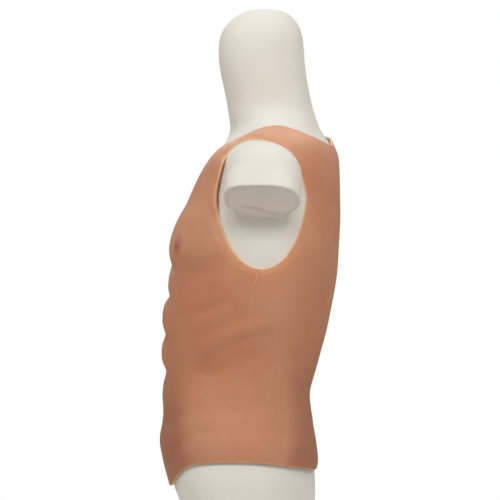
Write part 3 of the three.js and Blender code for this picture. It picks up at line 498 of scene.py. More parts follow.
def coords(mesh):
    flat = np.zeros(len(mesh.vertices) * 3)
    mesh.vertices.foreach_get("co", flat)
    return flat.reshape(-1, 3) / MM


def set_coords(ob, points):
    ob.data.vertices.foreach_set("co", (points * MM).ravel())
    ob.data.update()


def sides(loop):
    """Pairs of neighbours round a closed list."""
    return zip(loop, loop[1:] + loop[:1])


def strip(lower, upper):
    """Quads between two closed rings of vertex numbers."""
    return [(a, b, d, c) for (a, b), (c, d) in zip(sides(lower), sides(upper))]


def ring_numbers(first, rings, columns):
    return [list(range(first + i * columns, first + (i + 1) * columns)) for i in range(rings)]


def ring_strips(rings):
    return [face for lower, upper in zip(rings, rings[1:]) for face in strip(lower, upper)]


def capped_rings(first, rings, columns):
    """Faces of stacked rings whose low and high poles follow them in the vertex list."""
    rings = ring_numbers(first, rings, columns)
    low = rings[-1][-1] + 1
    faces = ring_strips(rings)
    for (a, b), (c, d) in zip(sides(rings[0]), sides(rings[-1])):
        faces += [(b, a, low), (c, d, low + 1)]
    return faces


def rounded(corners, steps):
    """Profile with each (radius, height, rounding) corner rounded in so many steps."""
    points = [np.array(corner[:2], float) for corner in corners]
    profile = []
    for i, corner in enumerate(points):
        rounding = corners[i][2]
        if rounding <= 0:
            profile.append(tuple(corner))
            continue
        back, ahead = points[i - 1] - corner, points[(i + 1) % len(points)] - corner
        back_length, ahead_length = np.linalg.norm(back), np.linalg.norm(ahead)
        back, ahead = back / back_length, ahead / ahead_length
        angle = math.acos(max(-1, min(1, float(back @ ahead))))
        if angle > math.pi - 0.05:
            profile.append(tuple(corner))
            continue
        trim = min(rounding / math.tan(angle / 2), 0.48 * back_length, 0.48 * ahead_length)
        start, end = corner + back * trim, corner + ahead * trim
        for k in range(steps + 1):
            t = k / steps
            profile.append(tuple((1 - t) ** 2 * start + 2 * t * (1 - t) * corner + t * t * end))
    return profile


def turned(name, corners, segments, steps=4, sharp=30, centre=(0, 0, 0), along_y=False):
    """Turn a profile about Z, or about Y. One that starts off the axis closes on itself."""
    verts, rings = [], []
    for radius, z in rounded(corners, steps):
        first = len(verts)
        if radius < 1e-6:
            rings.append([first])
            verts.append((0, 0, z))
            continue
        rings.append(list(range(first, first + segments)))
        for k in range(segments):
            angle = 2 * math.pi * k / segments
            verts.append((radius * math.cos(angle), radius * math.sin(angle), z))
    pairs = list(zip(rings[:-1], rings[1:]))
    if corners[0][0] > 0:
        pairs.append((rings[-1], rings[0]))
    faces = []
    for lower, upper in pairs:
        if len(lower) == 1:
            faces += [(lower[0], b, a) for a, b in sides(upper)]
        elif len(upper) == 1:
            faces += [(a, b, upper[0]) for a, b in sides(lower)]
        else:
            faces += strip(lower, upper)
    points = np.array(verts, float)
    if along_y:
        points = points[:, [0, 2, 1]] * np.array([-1, 1, 1])
    ob = new_object(name, points + np.array(centre), faces)
    recalc_normals(ob)
    sharpen(ob, sharp)
    return ob


# ------------------------------------------------------------------ materials
def srgb(*levels):
    linear = [c / 12.92 if c <= 0.04045 else ((c + 0.055) / 1.055) ** 2.4
              for c in (level / 255 for level in levels)]
    return (*linear, 1.0)


def scaled(color, gain, lift=0.0):
    return tuple(min(1, c * gain + lift) for c in color[:3]) + (1,)


class Graph:
    """Short forms for building a node tree. Any input takes a value or a socket."""

    def __init__(self, tree):
        self.tree = tree

    def feed(self, socket, value):
        if isinstance(value, bpy.types.NodeSocket):
            self.tree.links.new(value, socket)
        else:
            socket.default_value = value

    def node(self, kind, inputs=None, **settings):
        node = self.tree.nodes.new(kind)
        for key, value in settings.items():
            setattr(node, key, value)
        for key, value in (inputs or {}).items():
            self.feed(node.inputs[key], value)
        return node

    def coord(self, scale=(1, 1, 1)):
        place = self.node("ShaderNodeTexCoord").outputs["Object"]
        return self.node("ShaderNodeMapping", {"Scale": scale, "Vector": place}).outputs["Vector"]

    def xyz(self, space="Object"):
        place = self.node("ShaderNodeTexCoord").outputs[space]
        return self.node("ShaderNodeSeparateXYZ", {0: place}).outputs

    def noise(self, scale, detail=3.0, rough=0.55, vector=None, distortion=0.0):
        return self.node("ShaderNodeTexNoise", {
            "Scale": scale, "Detail": detail, "Roughness": rough, "Distortion": distortion,
            "Vector": vector or self.coord()}).outputs["Fac"]

    def math(self, operation, *operands):
        return self.node("ShaderNodeMath", dict(enumerate(operands)),
                         operation=operation).outputs[0]

    def from_axis(self, place):
        """Distance from the Z axis."""
        squares = [self.math("MULTIPLY", place[axis], place[axis]) for axis in "XY"]
        return self.math("SQRT", self.math("ADD", *squares))

    def mix(self, share, color, over):
        return self.node("ShaderNodeMix", {0: share, 6: color, 7: over},
                         data_type="RGBA").outputs[2]

    def tint(self, color, over, pattern, low, high, strength):
        """Lay a second colour over the first where the pattern rises from low to high."""
        share = self.math("MULTIPLY", self.remap(pattern, low, high), strength)
        return self.mix(share, color, over)

    def attribute(self, name):
        return self.node("ShaderNodeAttribute", attribute_name=name).outputs["Fac"]

    def remap(self, value, low, high, to_low=0.0, to_high=1.0, kind="SMOOTHSTEP"):
        inputs = dict(enumerate((value, low, high, to_low, to_high)))
        return self.node("ShaderNodeMapRange", inputs, interpolation_type=kind).outputs[0]

    def bump(self, height, strength, distance, under=None):
        inputs = {"Strength": strength, "Distance": distance, "Height": height}
        if under is not None:
            inputs["Normal"] = under
        return self.node("ShaderNodeBump", inputs).outputs["Normal"]


class Material(Graph):
    def __init__(self, name):
        self.data = bpy.data.materials.new(name)
        self.data.use_nodes = True
        super().__init__(self.data.node_tree)
        self.shader = self.tree.nodes["Principled BSDF"]

    def set(self, **inputs):
        """Feed inputs of the main shader; underscores stand for spaces."""
        for key, value in inputs.items():
            self.feed(self.shader.inputs[key.replace("_", " ")], value)


def make_silicone():
    skin = Material("silicone")
    broad = skin.noise(6.5, detail=4)
    middle = skin.noise(34.0, detail=4)
    blotch = skin.noise(17.0, rough=0.5, vector=skin.coord((1, 1, 0.7)), distortion=0.8)
    fine = skin.noise(420.0, rough=0.6)
    pink = skin.noise(11.0, rough=0.5, vector=skin.coord((1, 1, 0.8)), distortion=0.6)
    tan = skin.noise(8.0, detail=2, rough=0.5, vector=skin.coord((1.1, 1, 0.9)), distortion=0.4)
    color = skin.mix(skin.remap(broad, 0.32, 0.68), srgb(194, 134, 101), srgb(206, 147, 114))
    for pattern, low, high, strength, over in (
            (blotch, 0.50, 0.72, 0.40, (202, 130, 88)), (middle, 0.48, 0.75, 0.30, (182, 117, 88)),
            (pink, 0.50, 0.70, 0.42, (198, 127, 102)), (tan, 0.52, 0.70, 0.40, (206, 152, 114))):
        color = skin.tint(color, srgb(*over), pattern, low, high, strength)
    # painted shade: darker towards the hem, the lower edges and in the hollows
    shade = skin.math("MULTIPLY", skin.attribute("tone"), 0.58)
    color = skin.mix(shade, color, srgb(144, 84, 58))
    # painted by vertex attributes, later ones on top, with painted light on the shoulder tops and
    # the rear flank
    for name, over in (("warm", (190, 116, 78)), ("pale", (226, 180, 152)),
                       ("areola", (176, 100, 86)), ("edge", (206, 142, 100)),
                       # painted gap shade in dark orange-brown on the rim's inner steps and the
                       # inner face
                       ("seam", (228, 180, 148)), ("deep", (160, 80, 40)),
                       ("rim", (236, 205, 168))):
        color = skin.mix(skin.attribute(name), color, srgb(*over))
    cells = skin.node("ShaderNodeTexVoronoi", {"Scale": 900.0, "Vector": skin.coord()})
    relief = skin.bump(middle, strength=0.10, distance=0.0012)
    relief = skin.bump(fine, strength=0.16, distance=0.00025, under=relief)
    relief = skin.bump(cells.outputs["Distance"], strength=0.10, distance=0.00015, under=relief)
    skin.set(Base_Color=color, Roughness=skin.remap(middle, 0.2, 0.8, 0.46, 0.58, "LINEAR"),
             Subsurface_Weight=0.10, Subsurface_Radius=(1.0, 0.42, 0.22),
             Subsurface_Scale=0.004, Specular_IOR_Level=0.5, Normal=relief)
    return skin.data


def knit_height(cloth):
    """Rows and wales of a fine jersey, wrapped round the figure."""
    pitch = 0.0011         # between wales, m
    wrap_radius = 0.13
    axis_y = 0.02
    place = cloth.xyz()
    behind = cloth.math("MULTIPLY", cloth.math("SUBTRACT", place["Y"], axis_y), -1.0)
    around = cloth.math("MULTIPLY", cloth.math("ARCTAN2", place["X"], behind), wrap_radius)
    phase = cloth.math("MULTIPLY", around, 2 * math.pi / pitch)
    rise = cloth.math("MULTIPLY", place["Z"], 2 * math.pi / (pitch * 0.8))
    wales = cloth.math("ABSOLUTE", cloth.math("SINE", cloth.math("MULTIPLY", phase, 0.5)))
    zigzag = cloth.math("ADD", rise, cloth.math("MULTIPLY", wales, 1.6))
    rows = cloth.math("SINE", zigzag)
    return cloth.math("ADD", cloth.math("MULTIPLY", wales, 0.6), cloth.math("MULTIPLY", rows, 0.4))


def make_jersey():
    cloth = Material("jersey")
    broad = cloth.noise(7.0, rough=0.5)
    lint = cloth.noise(260.0, detail=4, rough=0.65)
    knit = knit_height(cloth)
    color = cloth.mix(cloth.remap(broad, 0.3, 0.7), srgb(231, 229, 222), srgb(223, 221, 212))
    color = cloth.tint(color, srgb(240, 237, 229), lint, low=0.5, high=0.8, strength=0.35)
    color = cloth.tint(color, srgb(196, 190, 176), knit, low=0.0, high=0.8, strength=0.10)
    relief = cloth.bump(knit, strength=0.35, distance=0.00022)
    relief = cloth.bump(lint, strength=0.35, distance=0.0003, under=relief)
    relief = cloth.bump(cloth.noise(55.0, rough=0.5), strength=0.18, distance=0.0012, under=relief)
    cloth.set(Base_Color=color, Roughness=0.92, Sheen_Weight=0.35, Sheen_Roughness=0.5,
              Sheen_Tint=(0.98, 0.96, 0.92, 1), Specular_IOR_Level=0.15, Normal=relief)
    return cloth.data


def make_metal(name, color, rough, brush=None, bump=0.04):
    metal = Material(name)
    if brush == "circular":
        place = metal.xyz()
        radius = metal.from_axis(place)
        angle = metal.math("ARCTAN2", place["Y"], place["X"])
        rings = metal.node("ShaderNodeCombineXYZ", {0: metal.math("MULTIPLY", radius, 1400.0),
                                                    1: metal.math("MULTIPLY", angle, 1.2)})
        lines = metal.noise(1.0, rough=0.6, vector=rings.outputs[0])
    elif brush == "axial":
        lines = metal.noise(1.0, rough=0.6, vector=metal.coord((900, 900, 12)))
    else:
        lines = metal.noise(160.0, rough=0.5)
    smudge = metal.noise(14.0, detail=4, rough=0.6)
    streak = metal.math("MULTIPLY", lines, 0.35)
    gloss = metal.math("ADD", metal.remap(lines, 0.2, 0.8, rough * 0.8, rough * 1.25, "LINEAR"),
                       metal.remap(smudge, 0.45, 0.8, 0.0, 0.05, "LINEAR"))
    metal.set(Base_Color=metal.mix(streak, color, scaled(color, 1.18)), Metallic=1.0,
              Roughness=gloss, Normal=metal.bump(lines, strength=bump, distance=0.0002))
    return metal.data


def make_plastic(name, color, rough, grain, bump, variation):
    plastic = Material(name)
    fine = plastic.noise(grain, detail=2, rough=0.5)
    wear = plastic.noise(22.0, detail=4, rough=0.6)
    light = scaled(color, 1 + 2 * variation, lift=0.004)
    plastic.set(Base_Color=plastic.mix(plastic.remap(wear, 0.35, 0.7), color, light),
                Roughness=plastic.remap(wear, 0.3, 0.7, rough * 0.9, rough * 1.1, "LINEAR"),
                Normal=plastic.bump(fine, strength=bump, distance=0.0002))
    return plastic.data


def make_laminate(name, color):
    shell = Material(name)
    fibre = shell.noise(60.0, detail=6, rough=0.75, vector=shell.coord((1, 1, 3.5)),
                        distortion=1.5)
    speck = shell.noise(300.0, detail=2, rough=0.5)
    relief = shell.bump(fibre, strength=0.35, distance=0.0006)
    shell.set(Base_Color=shell.mix(shell.remap(fibre, 0.4, 0.65), color, scaled(color, 0.78)),
              Roughness=shell.remap(fibre, 0.3, 0.7, 0.35, 0.6, "LINEAR"),
              Normal=shell.bump(speck, strength=0.1, distance=0.0002, under=relief))
    return shell.data


def make_plywood():
    wood = Material("plywood")
    grain = wood.noise(16.0, detail=5, rough=0.6, vector=wood.coord((1, 9, 9)), distortion=0.6)
    plies = wood.node("ShaderNodeTexWave",
                      {"Scale": 110.0, "Distortion": 0.6, "Vector": wood.coord()},
                      wave_type="BANDS", bands_direction="Z")
    color = wood.mix(wood.remap(grain, 0.3, 0.7), srgb(214, 178, 128), srgb(190, 148, 98))
    layers = wood.math("MULTIPLY", plies.outputs["Fac"], 0.28)
    wood.set(Base_Color=wood.mix(layers, color, srgb(150, 108, 66)), Roughness=0.62,
             Normal=wood.bump(grain, strength=0.15, distance=0.0004))
    return wood.data


MATERIALS = {
    "silicone": make_silicone(),
    "jersey": make_jersey(),
    "laminate": make_laminate("laminate", srgb(214, 205, 178)),
    "head_laminate": make_laminate("head_laminate", srgb(224, 220, 206)),
    "plywood": make_plywood(),
    "chrome": make_metal("chrome", (0.78, 0.79, 0.80, 1), rough=0.09, brush="axial", bump=0.015),
    "base_steel": make_metal("base_steel", (0.60, 0.60, 0.59, 1), rough=0.30,
                             brush="circular", bump=0.12),
    "zinc": make_metal("zinc", (0.62, 0.63, 0.66, 1), rough=0.34),
    "black_plastic": make_plastic("black_plastic", (0.012, 0.012, 0.013, 1), rough=0.45,
                                  grain=900.0, bump=0.25, variation=0.2),
    "nylon": make_plastic("nylon", srgb(232, 228, 216), rough=0.45, grain=500.0, bump=0.05,
                          variation=0.02),
    "rubber": make_plastic("rubber", (0.018, 0.018, 0.018, 1), rough=0.8, grain=500.0,
                           bump=0.3, variation=0.25),
}


def finish_piece(ob, slot, rides, node):
    ob.data.materials.clear()
    ob.data.materials.append(MATERIALS[slot])
    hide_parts(node)
    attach(ob, rides)


# ------------------------------------------------------------------ jersey cover
def source_solids():
    """Torso and both stumps as closed overlapping skins, for the voxel join."""
    low, high = 262, 1108.0
    levels = np.concatenate([np.arange(low, 1080, 7.0),
                             [1080, 1086, 1091, 1096, 1100, 1103, 1105.5, 1107.2]])
    fractions = np.linspace(0, 1, 28)
    shape = body(levels)
    grid = ring_grid(levels, shape, shape["side"], fractions, fractions)
    verts = grid.reshape(-1, 3).tolist() + [[0, 0, low], [0, 23, high]]
    faces = capped_rings(0, *grid.shape[:2])

    # stump rings: height above the joint along the axis, scale of the section
    rings = [(-STUMP_LENGTH + 1.0, 0.97), (-STUMP_LENGTH + 3, 1.0), (-STUMP_LENGTH / 2, 1.0),
             (0, 1.0)]
    for angle in range(10, 90, 10):
        rings.append((STUMP_OUTER * math.sin(math.radians(angle)),
                      math.cos(math.radians(angle))))
    columns = 60
    for side in (1, -1):
        first = len(verts)
        places = []
        for height, scale in rings:
            for j in range(columns):
                across, fore = stump_edge(-height, 2 * math.pi * j / columns)
                places.append(STUMP_JOINT - STUMP_AXIS * height + STUMP_ACROSS * scale * across
                              + np.array([0, 1, 0]) * scale * fore)
        places.append(STUMP_JOINT + STUMP_AXIS * STUMP_LENGTH)
        places.append(STUMP_JOINT - STUMP_AXIS * STUMP_OUTER)
        verts += [[side * x, y, z] for x, y, z in places]
        faces += [face[::side] for face in capped_rings(first, len(rings), columns)]
    return verts, faces


def keep_largest_part(bm):
    seen, parts = set(), []
    for vert in bm.verts:
        if vert in seen:
            continue
        stack, part = [vert], []
        seen.add(vert)
        while stack:
            reached = stack.pop()
            part.append(reached)
            for edge in reached.link_edges:
                other = edge.other_vert(reached)
                if other not in seen:
                    seen.add(other)
                    stack.append(other)
        parts.append(part)
    parts.sort(key=len)
    for part in parts[:-1]:
        bmesh.ops.delete(bm, geom=part, context="VERTS")


def project(ob, rounds):
    """Draw the skin onto the solid field, except at the crown and the lowest edge."""
    points = coords(ob.data)
    weight = 1 - ease(points[:, 2], 1078, 1092)
    weight *= ease(points[:, 2], 264, 268)
    active = weight > 0
    for _ in range(rounds):
        moving = points[active]
        slope = field_slope(moving)
        steepness = np.linalg.norm(slope, axis=1, keepdims=True)
        step = (np.clip(field(moving), -3, 3)[:, None] * 0.85 * slope
                / np.maximum(steepness, 0.6) ** 2)
        points[active] = moving - step * weight[active][:, None]
    set_coords(ob, points)


def refine_ends(ob):
    """Finer faces on each stump's flat end and round its rim, in two passes."""
    # reach round the rim, reach up from the end, least distance of the end from the torso
    for rim_reach, end_reach, clearance in ((12, 8, 0), (7, 6, 1)):
        points = coords(ob.data)
        across, fore, along = stump_local(points)
        level = stump_level(across, fore, along)[0]
        from_torso = torso_field(points)
        from_rim = np.hypot((level - 0.97) * 50, along - (STUMP_LENGTH - END_CROWN))
        near = (from_rim < rim_reach) & (from_torso > 1)
        near |= (along > STUMP_LENGTH - end_reach) & (level < 1.05) & (from_torso > clearance)
        with editing(ob) as bm:
            edges = [e for e in bm.edges if near[e.verts[0].index] and near[e.verts[1].index]]
            bmesh.ops.subdivide_edges(bm, edges=edges, cuts=1, use_grid_fill=True)
        project(ob, 3)


def ripple(ob):
    """Gentle settling of the cloth over the form, fainter at the head."""
    points = coords(ob.data)
    offset = np.zeros(len(points))
    for wavelength, height, direction in ((31, 0.35, (0.9, 0.2, 0.4)),
                                          (17, 0.16, (0.3, 0.8, 0.6))):
        direction = np.array(direction) / np.linalg.norm(direction)
        offset += height * np.sin(points @ direction / wavelength * 2 * math.pi
                                  + 1.7 * np.sin(points[:, 2] / (wavelength * 2.3))
                                  + 1.1 * np.sin(points[:, 0] / 29.0))
    normals = np.zeros(len(points) * 3)
    ob.data.vertex_normals.foreach_get("vector", normals)
    fade = ease(points[:, 2], 1000, 940) * 0.6 + 0.4
    set_coords(ob, points + normals.reshape(-1, 3) * (offset * fade * 0.55)[:, None])


def slacken_ends(ob):
    """Cloth simulation of the slack fabric over the two flat stump ends."""
    last_frame, cache_end = 22, 24
    most_shift = 3.2
    points = coords(ob.data)
    across, fore, along = stump_local(points)
    level = stump_level(across, fore, along)[0]
    on_end = (along > STUMP_LENGTH - 6) & (level < 1.02) & (torso_field(points) > 0.5)
    faces = [list(f.vertices) for f in ob.data.polygons if on_end[list(f.vertices)].all()]
    used = sorted({v for face in faces for v in face})
    local = {v: i for i, v in enumerate(used)}
    cloth = new_object("tmp_cloth", points[used], [[local[v] for v in face] for face in faces])
    cloth.data.update()
    uses = defaultdict(int)
    for face in faces:
        for pair in sides(face):
            uses[tuple(sorted(pair))] += 1
    border = {v for pair, count in uses.items() if count == 1 for v in pair}
    pins = cloth.vertex_groups.new(name="pin")
    for v in used:
        weight = 1.0 if v in border else float(ease(level[v], 0.86, 0.97))
        if weight > 0:
            pins.add([local[v]], weight, "REPLACE")
    modifier = cloth.modifiers.new("cloth", "CLOTH")
    settings = modifier.settings
    settings.quality = 6
    settings.mass = 0.15
    settings.tension_stiffness = settings.compression_stiffness = 12
    settings.shear_stiffness = 4
    settings.bending_stiffness = 0.25
    settings.shrink_min = settings.shrink_max = -0.085   # negative: the cloth grows
    settings.vertex_group_mass = "pin"
    settings.effector_weights.gravity = 0.25
    modifier.collision_settings.use_collision = False
    modifier.collision_settings.use_self_collision = False
    modifier.point_cache.frame_start, modifier.point_cache.frame_end = 1, cache_end
    scene = bpy.context.scene
    for i in range(1, last_frame + 1):
        scene.frame_set(i)
    settled = cloth.evaluated_get(bpy.context.evaluated_depsgraph_get())
    shift = coords(settled.data) - points[used]
    scene.frame_set(1)
    bpy.data.objects.remove(cloth, do_unlink=True)
    length = np.linalg.norm(shift, axis=1)
    limit = most_shift * np.tanh(length / most_shift) / np.maximum(length, 1e-6)
    points[used] = points[used] + shift * limit[:, None]
    set_coords(ob, points)


def turn_hem(bm):
    """Cut the skin open at the bottom and turn its edge in under the torso."""
    cut = TORSO_LOW * MM
    bmesh.ops.bisect_plane(bm, geom=bm.verts[:] + bm.edges[:] + bm.faces[:], dist=1e-6,
                           plane_co=(0, 0, cut), plane_no=(0, 0, -1), clear_outer=True)
    edges = [e for e in bm.edges if e.is_boundary]
    outwards = {v: Vector((v.normal.x, v.normal.y, 0)).normalized()
                for v in {v for e in edges for v in e.verts}}
    last_inset = 0.0
    # inset from the skin, height from the cut
    for inset, height in ((0.5, -1.3), (1.7, -2.3), (3.6, -2.7), (8, -2.7), (14, -2.7),
                          (20, -2.6), (24, -2.4), (26, -2.2)):
        grown = bmesh.ops.extrude_edge_only(bm, edges=edges)["geom"]
        moved = {}
        for vert in (g for g in grown if isinstance(g, bmesh.types.BMVert)):
            for edge in vert.link_edges:
                source = edge.other_vert(vert)
                if source in outwards:
                    break
            normal = outwards[source]
            angle = math.atan2(vert.co.x, vert.co.y)
            pucker = 0.55 * math.sin(angle * 46) * min(1.0, max(0.0, (inset - 6) / 20.0))
            vert.co = source.co + Vector((-normal.x * (inset - last_inset),
                                          -normal.y * (inset - last_inset), 0)) * MM
            vert.co.z = cut + (height + pucker) * MM
            moved[vert] = normal
        outwards = moved
        edges = [g for g in grown if isinstance(g, bmesh.types.BMEdge)
                 and g.verts[0] in moved and g.verts[1] in moved]
        last_inset = inset
    bmesh.ops.recalc_face_normals(bm, faces=bm.faces)


def build_jersey():
    ob = new_object("jersey_skin", *source_solids())
    remesh = ob.modifiers.new("join", "REMESH")
    remesh.mode = "VOXEL"
    remesh.voxel_size = 5.2 * MM
    remesh.use_smooth_shade = True
    apply_modifiers(ob)
    with editing(ob) as bm:
        keep_largest_part(bm)
    project(ob, 4)
    refine_ends(ob)
    ripple(ob)
    slacken_ends(ob)
    with editing(ob) as bm:
        turn_hem(bm)
    smooth(ob)
    solidify = ob.modifiers.new("thick", "SOLIDIFY")
    solidify.thickness = 2.1 * MM
    solidify.offset = -1.0
    solidify.use_even_offset = False
    apply_modifiers(ob)
    finish_piece(ob, "jersey", "figure", "jersey_cover")


# ------------------------------------------------------------------ vest relief
# Ridges (+) and grooves (-): width, height, fade at each end as a share of the length, and
# the line as |x| z pairs on the front and back, y z pairs on the flanks.
RIDGES = {
    "front": (
        # outer border of the straight abdominal muscle, then the groin
        (14, -1.9, 0.18, "84 690  92 660  96 620  96 580  92 540  85 495  74 452  62 418"),
        (8, -1.7, 0.18, "150 470  128 440  106 416  86 396  66 376"),
        (13, 1.0, 0.18, "150 492  122 455  96 428  74 402")),
    "flank": (
        # ribs and the serratus slips
        (10, -2.0, 0.4, "-84 633  -66 640  -44 650  -10 664"),
        (12, 1.6, 0.45, "-84 612  -50 626  -20 640  20 658"),
        (9, -0.8, 0.45, "-80 658  -58 668  -32 680"),
        (12, 2.4, 0.4, "-84 574  -58 588  -33 600  0 613  40 627  84 645"),
        (16, -3.6, 0.35, "-92 538  -70 549  -48 558  -20 569  8 582  34 594  72 610"),
        (16, 0.9, 0.18, "-60 466  -10 476  50 472")),
    "rear flank": (
        (13, -2.4, 0.18, "78 585  73 540  71 490  76 440"),),
    "back": (
        (13, 1.7, 0.18, "24 455  27 520  28 600  26 680  24 730"),
        (7.5, -1.5, 0.18, "36 850  38 810  44 775  58 748  80 738"),
        (22, 1.7, 0.18, "52 628  84 664  112 712  136 762"),
        (11, -1.2, 0.18, "36 590  66 620  104 660  136 706"),
        (13, 1.0, 0.18, "10 700  28 760  52 826  84 872")),
}
# Round swellings (+) and hollows (-): |x| or y, width, z, width in z, height
SWELLS = {
    "front": ((0, 6.5, 515, 8.5, -6.0), (0, 14, 515, 15, 1.0)),    # navel and its surround
    "flank": ((-57, 17, 556, 13, -1.7), (22, 20, 592, 13, -1.5), (-66, 30, 500, 30, 1.5),
              (38, 26, 508, 32, 1.4), (-8, 14, 520, 50, -0.8)),
    "rear flank": (),
    "back": ((74, 30, 800, 44, 2.0), (31, 8, 432, 8, -1.3)),       # shoulder blade, low dimple
}
# abdominal pads: z, half height, rise, |x|, half breadth
PADS = ((684, 13, 1.2, 46, 27), (634, 23, 2.3, 49, 29), (573, 20, 2.2, 48, 28),
        (505, 31, 1.5, 44, 26))


def ridge(across, up, line, width, height, fade):
    points = np.stack([across.ravel(), up.ravel()], 1)
    line = resample(line)
    near = ((points >= line.min(0) - 3 * width) & (points <= line.max(0) + 3 * width)).all(1)
    distance, place = nearest(points[near], line)
    raised = np.zeros(len(points))
    raised[near] = (height * np.exp(-(distance / width) ** 2)
                    * ease(np.minimum(place, 1 - place), 0, fade))
    return raised.reshape(across.shape)


def abdomen_relief(wide, z, girth):
    """Creases and pads of the abdomen and the fold under the chest."""
    raised = np.zeros_like(z)
    # the creases follow the centre profile and arch up at the middle
    arch = (14.0 * (1 - np.clip(girth / 80.0, 0, 1.3) ** 2) - 12.6) * 0.6
    crease = np.interp(z - arch, VEST_Z, VEST_FRONT - VEST_BRIDGED)
    raised -= crease * (1 - ease(girth, 46, 98)) * ease(z, 690, 682)
    # the fold changes from sharp to soft on its way outwards
    level = z - lookup(girth, "0 17  14 13  35 5  60 1  100 0  150 -3  176 -4  200 2  222 12"
                              " 245 24")
    strength = lookup(girth, "0 0.25  14 0.45  34 0.95  70 0.9  150 0.72  190 0.66  218 0.35"
                             " 240 0")
    sharp = lookup(level, "672 0  680 0.3  686 0.8  690 1.6  694.6 3.2  699.2 5.4  702.4 6.2"
                          " 705.5 5.4  710.2 3.7  716.4 2  724 0.7  732 0")
    soft = lookup(level, "660 0  676 0.9  690 2.6  702 4.2  714 3  726 1  738 0")
    share = ease(girth, 70, 130)
    raised -= (sharp * (1 - share) + soft * share) * strength
    # lower outer part of the chest
    raised += 1.2 * bell(girth, 125, 48) * bell(z, 734, 24)
    for pad_z, half_height, rise, pad_x, half_breadth in PADS:
        raised += rise * np.exp(-((wide - pad_x) / half_breadth) ** 4
                                - ((z - pad_z - arch) / half_height) ** 4)
    return raised


def relief(points, girth):
    """Outward muscle relief; girth is the arc length from the front centre."""
    x, y, z = np.moveaxis(points, 2, 0)
    wide = np.abs(x)
    front = 1 - ease(y, -10, 25)
    back = ease(y, 35, 60)
    flank = ease(wide, 95, 125) * (1 - ease(y, 90, 118))
    rear_flank = (1 - ease(y, 96, 106)) * ease(wide, 60, 90)
    raised = abdomen_relief(wide, z, girth) * front
    # grooves down the middle: breastbone, abdomen, spine
    for part, width, depths in (
            (front, 13, "690 0.5  705 3.6  735 6.4  775 5.2  820 3.4  850 2  872 0"),
            (front, 6.8, "420 0  470 0.9  500 2  530 3  600 3.5  680 2.7  697 1.4  710 0"),
            (back, 11, "400 0  440 1.6  480 3.6  540 4.6  640 4.4  740 3.6  820 2.4  868 0")):
        raised -= lookup(z, depths) * bell(wide, 0, width) * part
    for region, across, part in (("front", wide, front), ("flank", y, flank),
                                 ("rear flank", y, rear_flank), ("back", wide, back)):
        for width, height, fade, line in RIDGES[region]:
            raised += ridge(across, z, table(2, line), width, height, fade) * part
        for centre, width, centre_z, width_z, height in SWELLS[region]:
            raised += height * bell(across, centre, width) * bell(z, centre_z, width_z) * part
    # drag lines beside the side joint
    drag_line = table(2, "2.5 588  1.5 572  1 560  0 545")
    for shift in (-1.5, -6.5, -10.5):
        raised += ridge(y, z, drag_line + [shift, 0], width=1.7, height=-0.35, fade=0.18) * flank
    # areola step, ring groove and nipple
    radius = np.hypot((wide - NIPPLE[0]) * 1.25, z - NIPPLE[1])
    raised += 0.6 * (1 - ease(radius, 9.0, 15.0)) * front
    raised -= 0.4 * bell(radius, 6.0, 1.8) * front
    raised += 2.1 * (1 - ease(radius, 2.4, 5.6)) * front
    return raised


# ------------------------------------------------------------------ vest surfaces
VEST_STEP = 2.9      # coarse grid step
VEST_LOW = 359
RIM_RADIUS = 1.35
RIM_STEPS = 7
NO_OPENING = 200.0   # stands for "far from any opening"


def spaced(length, bands):
    """Places 0..length, finer inside bands of (centre, half width, step)."""
    places = [0.0]
    while places[-1] < length:
        step = VEST_STEP
        for centre, reach, fine in bands:
            off = abs(places[-1] - centre)
            if off < reach * 2.2:
                slack = max(0.0, (off - reach) / (1.2 * reach))
                step = min(step, fine + (VEST_STEP - fine) * slack)
        places.append(places[-1] + step)
    places = np.array(places)
    return places * (length / places[-1])


def vest_blank(levels, front, rear):
    """Smooth outer surface, the body under it and the body's normals."""
    seam = np.interp(levels, VEST_Z, blur(np.interp(VEST_Z, SEAM[:, 0], SEAM[:, 1]), 12.0))
    shape = body(levels)
    under = ring_grid(levels, shape, seam, front, rear)
    lift = ease(levels, 852, 904)
    worn = dict(shape, front=np.interp(levels, VEST_Z, VEST_BRIDGED),
                rear=np.interp(levels, VEST_Z, VEST_REAR), width=shape["width"] + 4.0,
                rear_power=shape["rear_power"] + (2.05 - shape["rear_power"]) * lift)
    sharp = ring_grid(levels, worn, seam, front, rear)
    # soften the fore-and-aft ridges that low powers leave on the shoulders and neck
    sigma = lookup(levels, "860 0.8  885 2.5  905 4  930 4")
    keep = (lift[:, None] * ease(sharp[..., 1], 42, 72))[..., None]
    outer = ring_blur(sharp, sigma) * (1 - keep) + ring_blur(sharp, np.minimum(sigma, 1.0)) * keep
    under = ring_blur(under, sigma)
    outer[..., 2] = under[..., 2] = levels[:, None]
    normals = grid_normals(under)
    # at least this far from the body, eased in over a range either side
    least, ease_range = 3.4, 2
    gap = ((outer - under) * normals).sum(2)
    eased = (least + ease_range - gap) ** 2 / 8 * (gap > least - ease_range)
    full = (least - gap) * (gap <= least - ease_range)
    grow = np.where(gap < least + ease_range, eased + full, 0)
    return outer + normals * grow[..., None], under, normals


def stand_proud(outer, normals):
    """Lift the surface behind the right shoulder and at the front of each arm hole.

    Also returns the share of the arm hole zone at each point."""
    x, y, z = np.moveaxis(outer, 2, 0)
    shoulder = 6.0 * ease(-x, -12, 45) * ease(z, 886, 908) * ease(y, 62, 92)
    outer = outer + normals * shoulder[..., None]
    near = nearest(np.stack([y.ravel(), z.ravel()], 1), ARMHOLE, closed=True)[0]
    zone = (ease(z, 776, 806) * (1 - ease(z, 858, 880)) * (1 - ease(y, -20, 5))
            * (np.abs(x) > 95))
    proud = 3.2 * zone * np.exp(-(near.reshape(y.shape) / 15.0) ** 2)
    return outer + normals * proud[..., None], zone


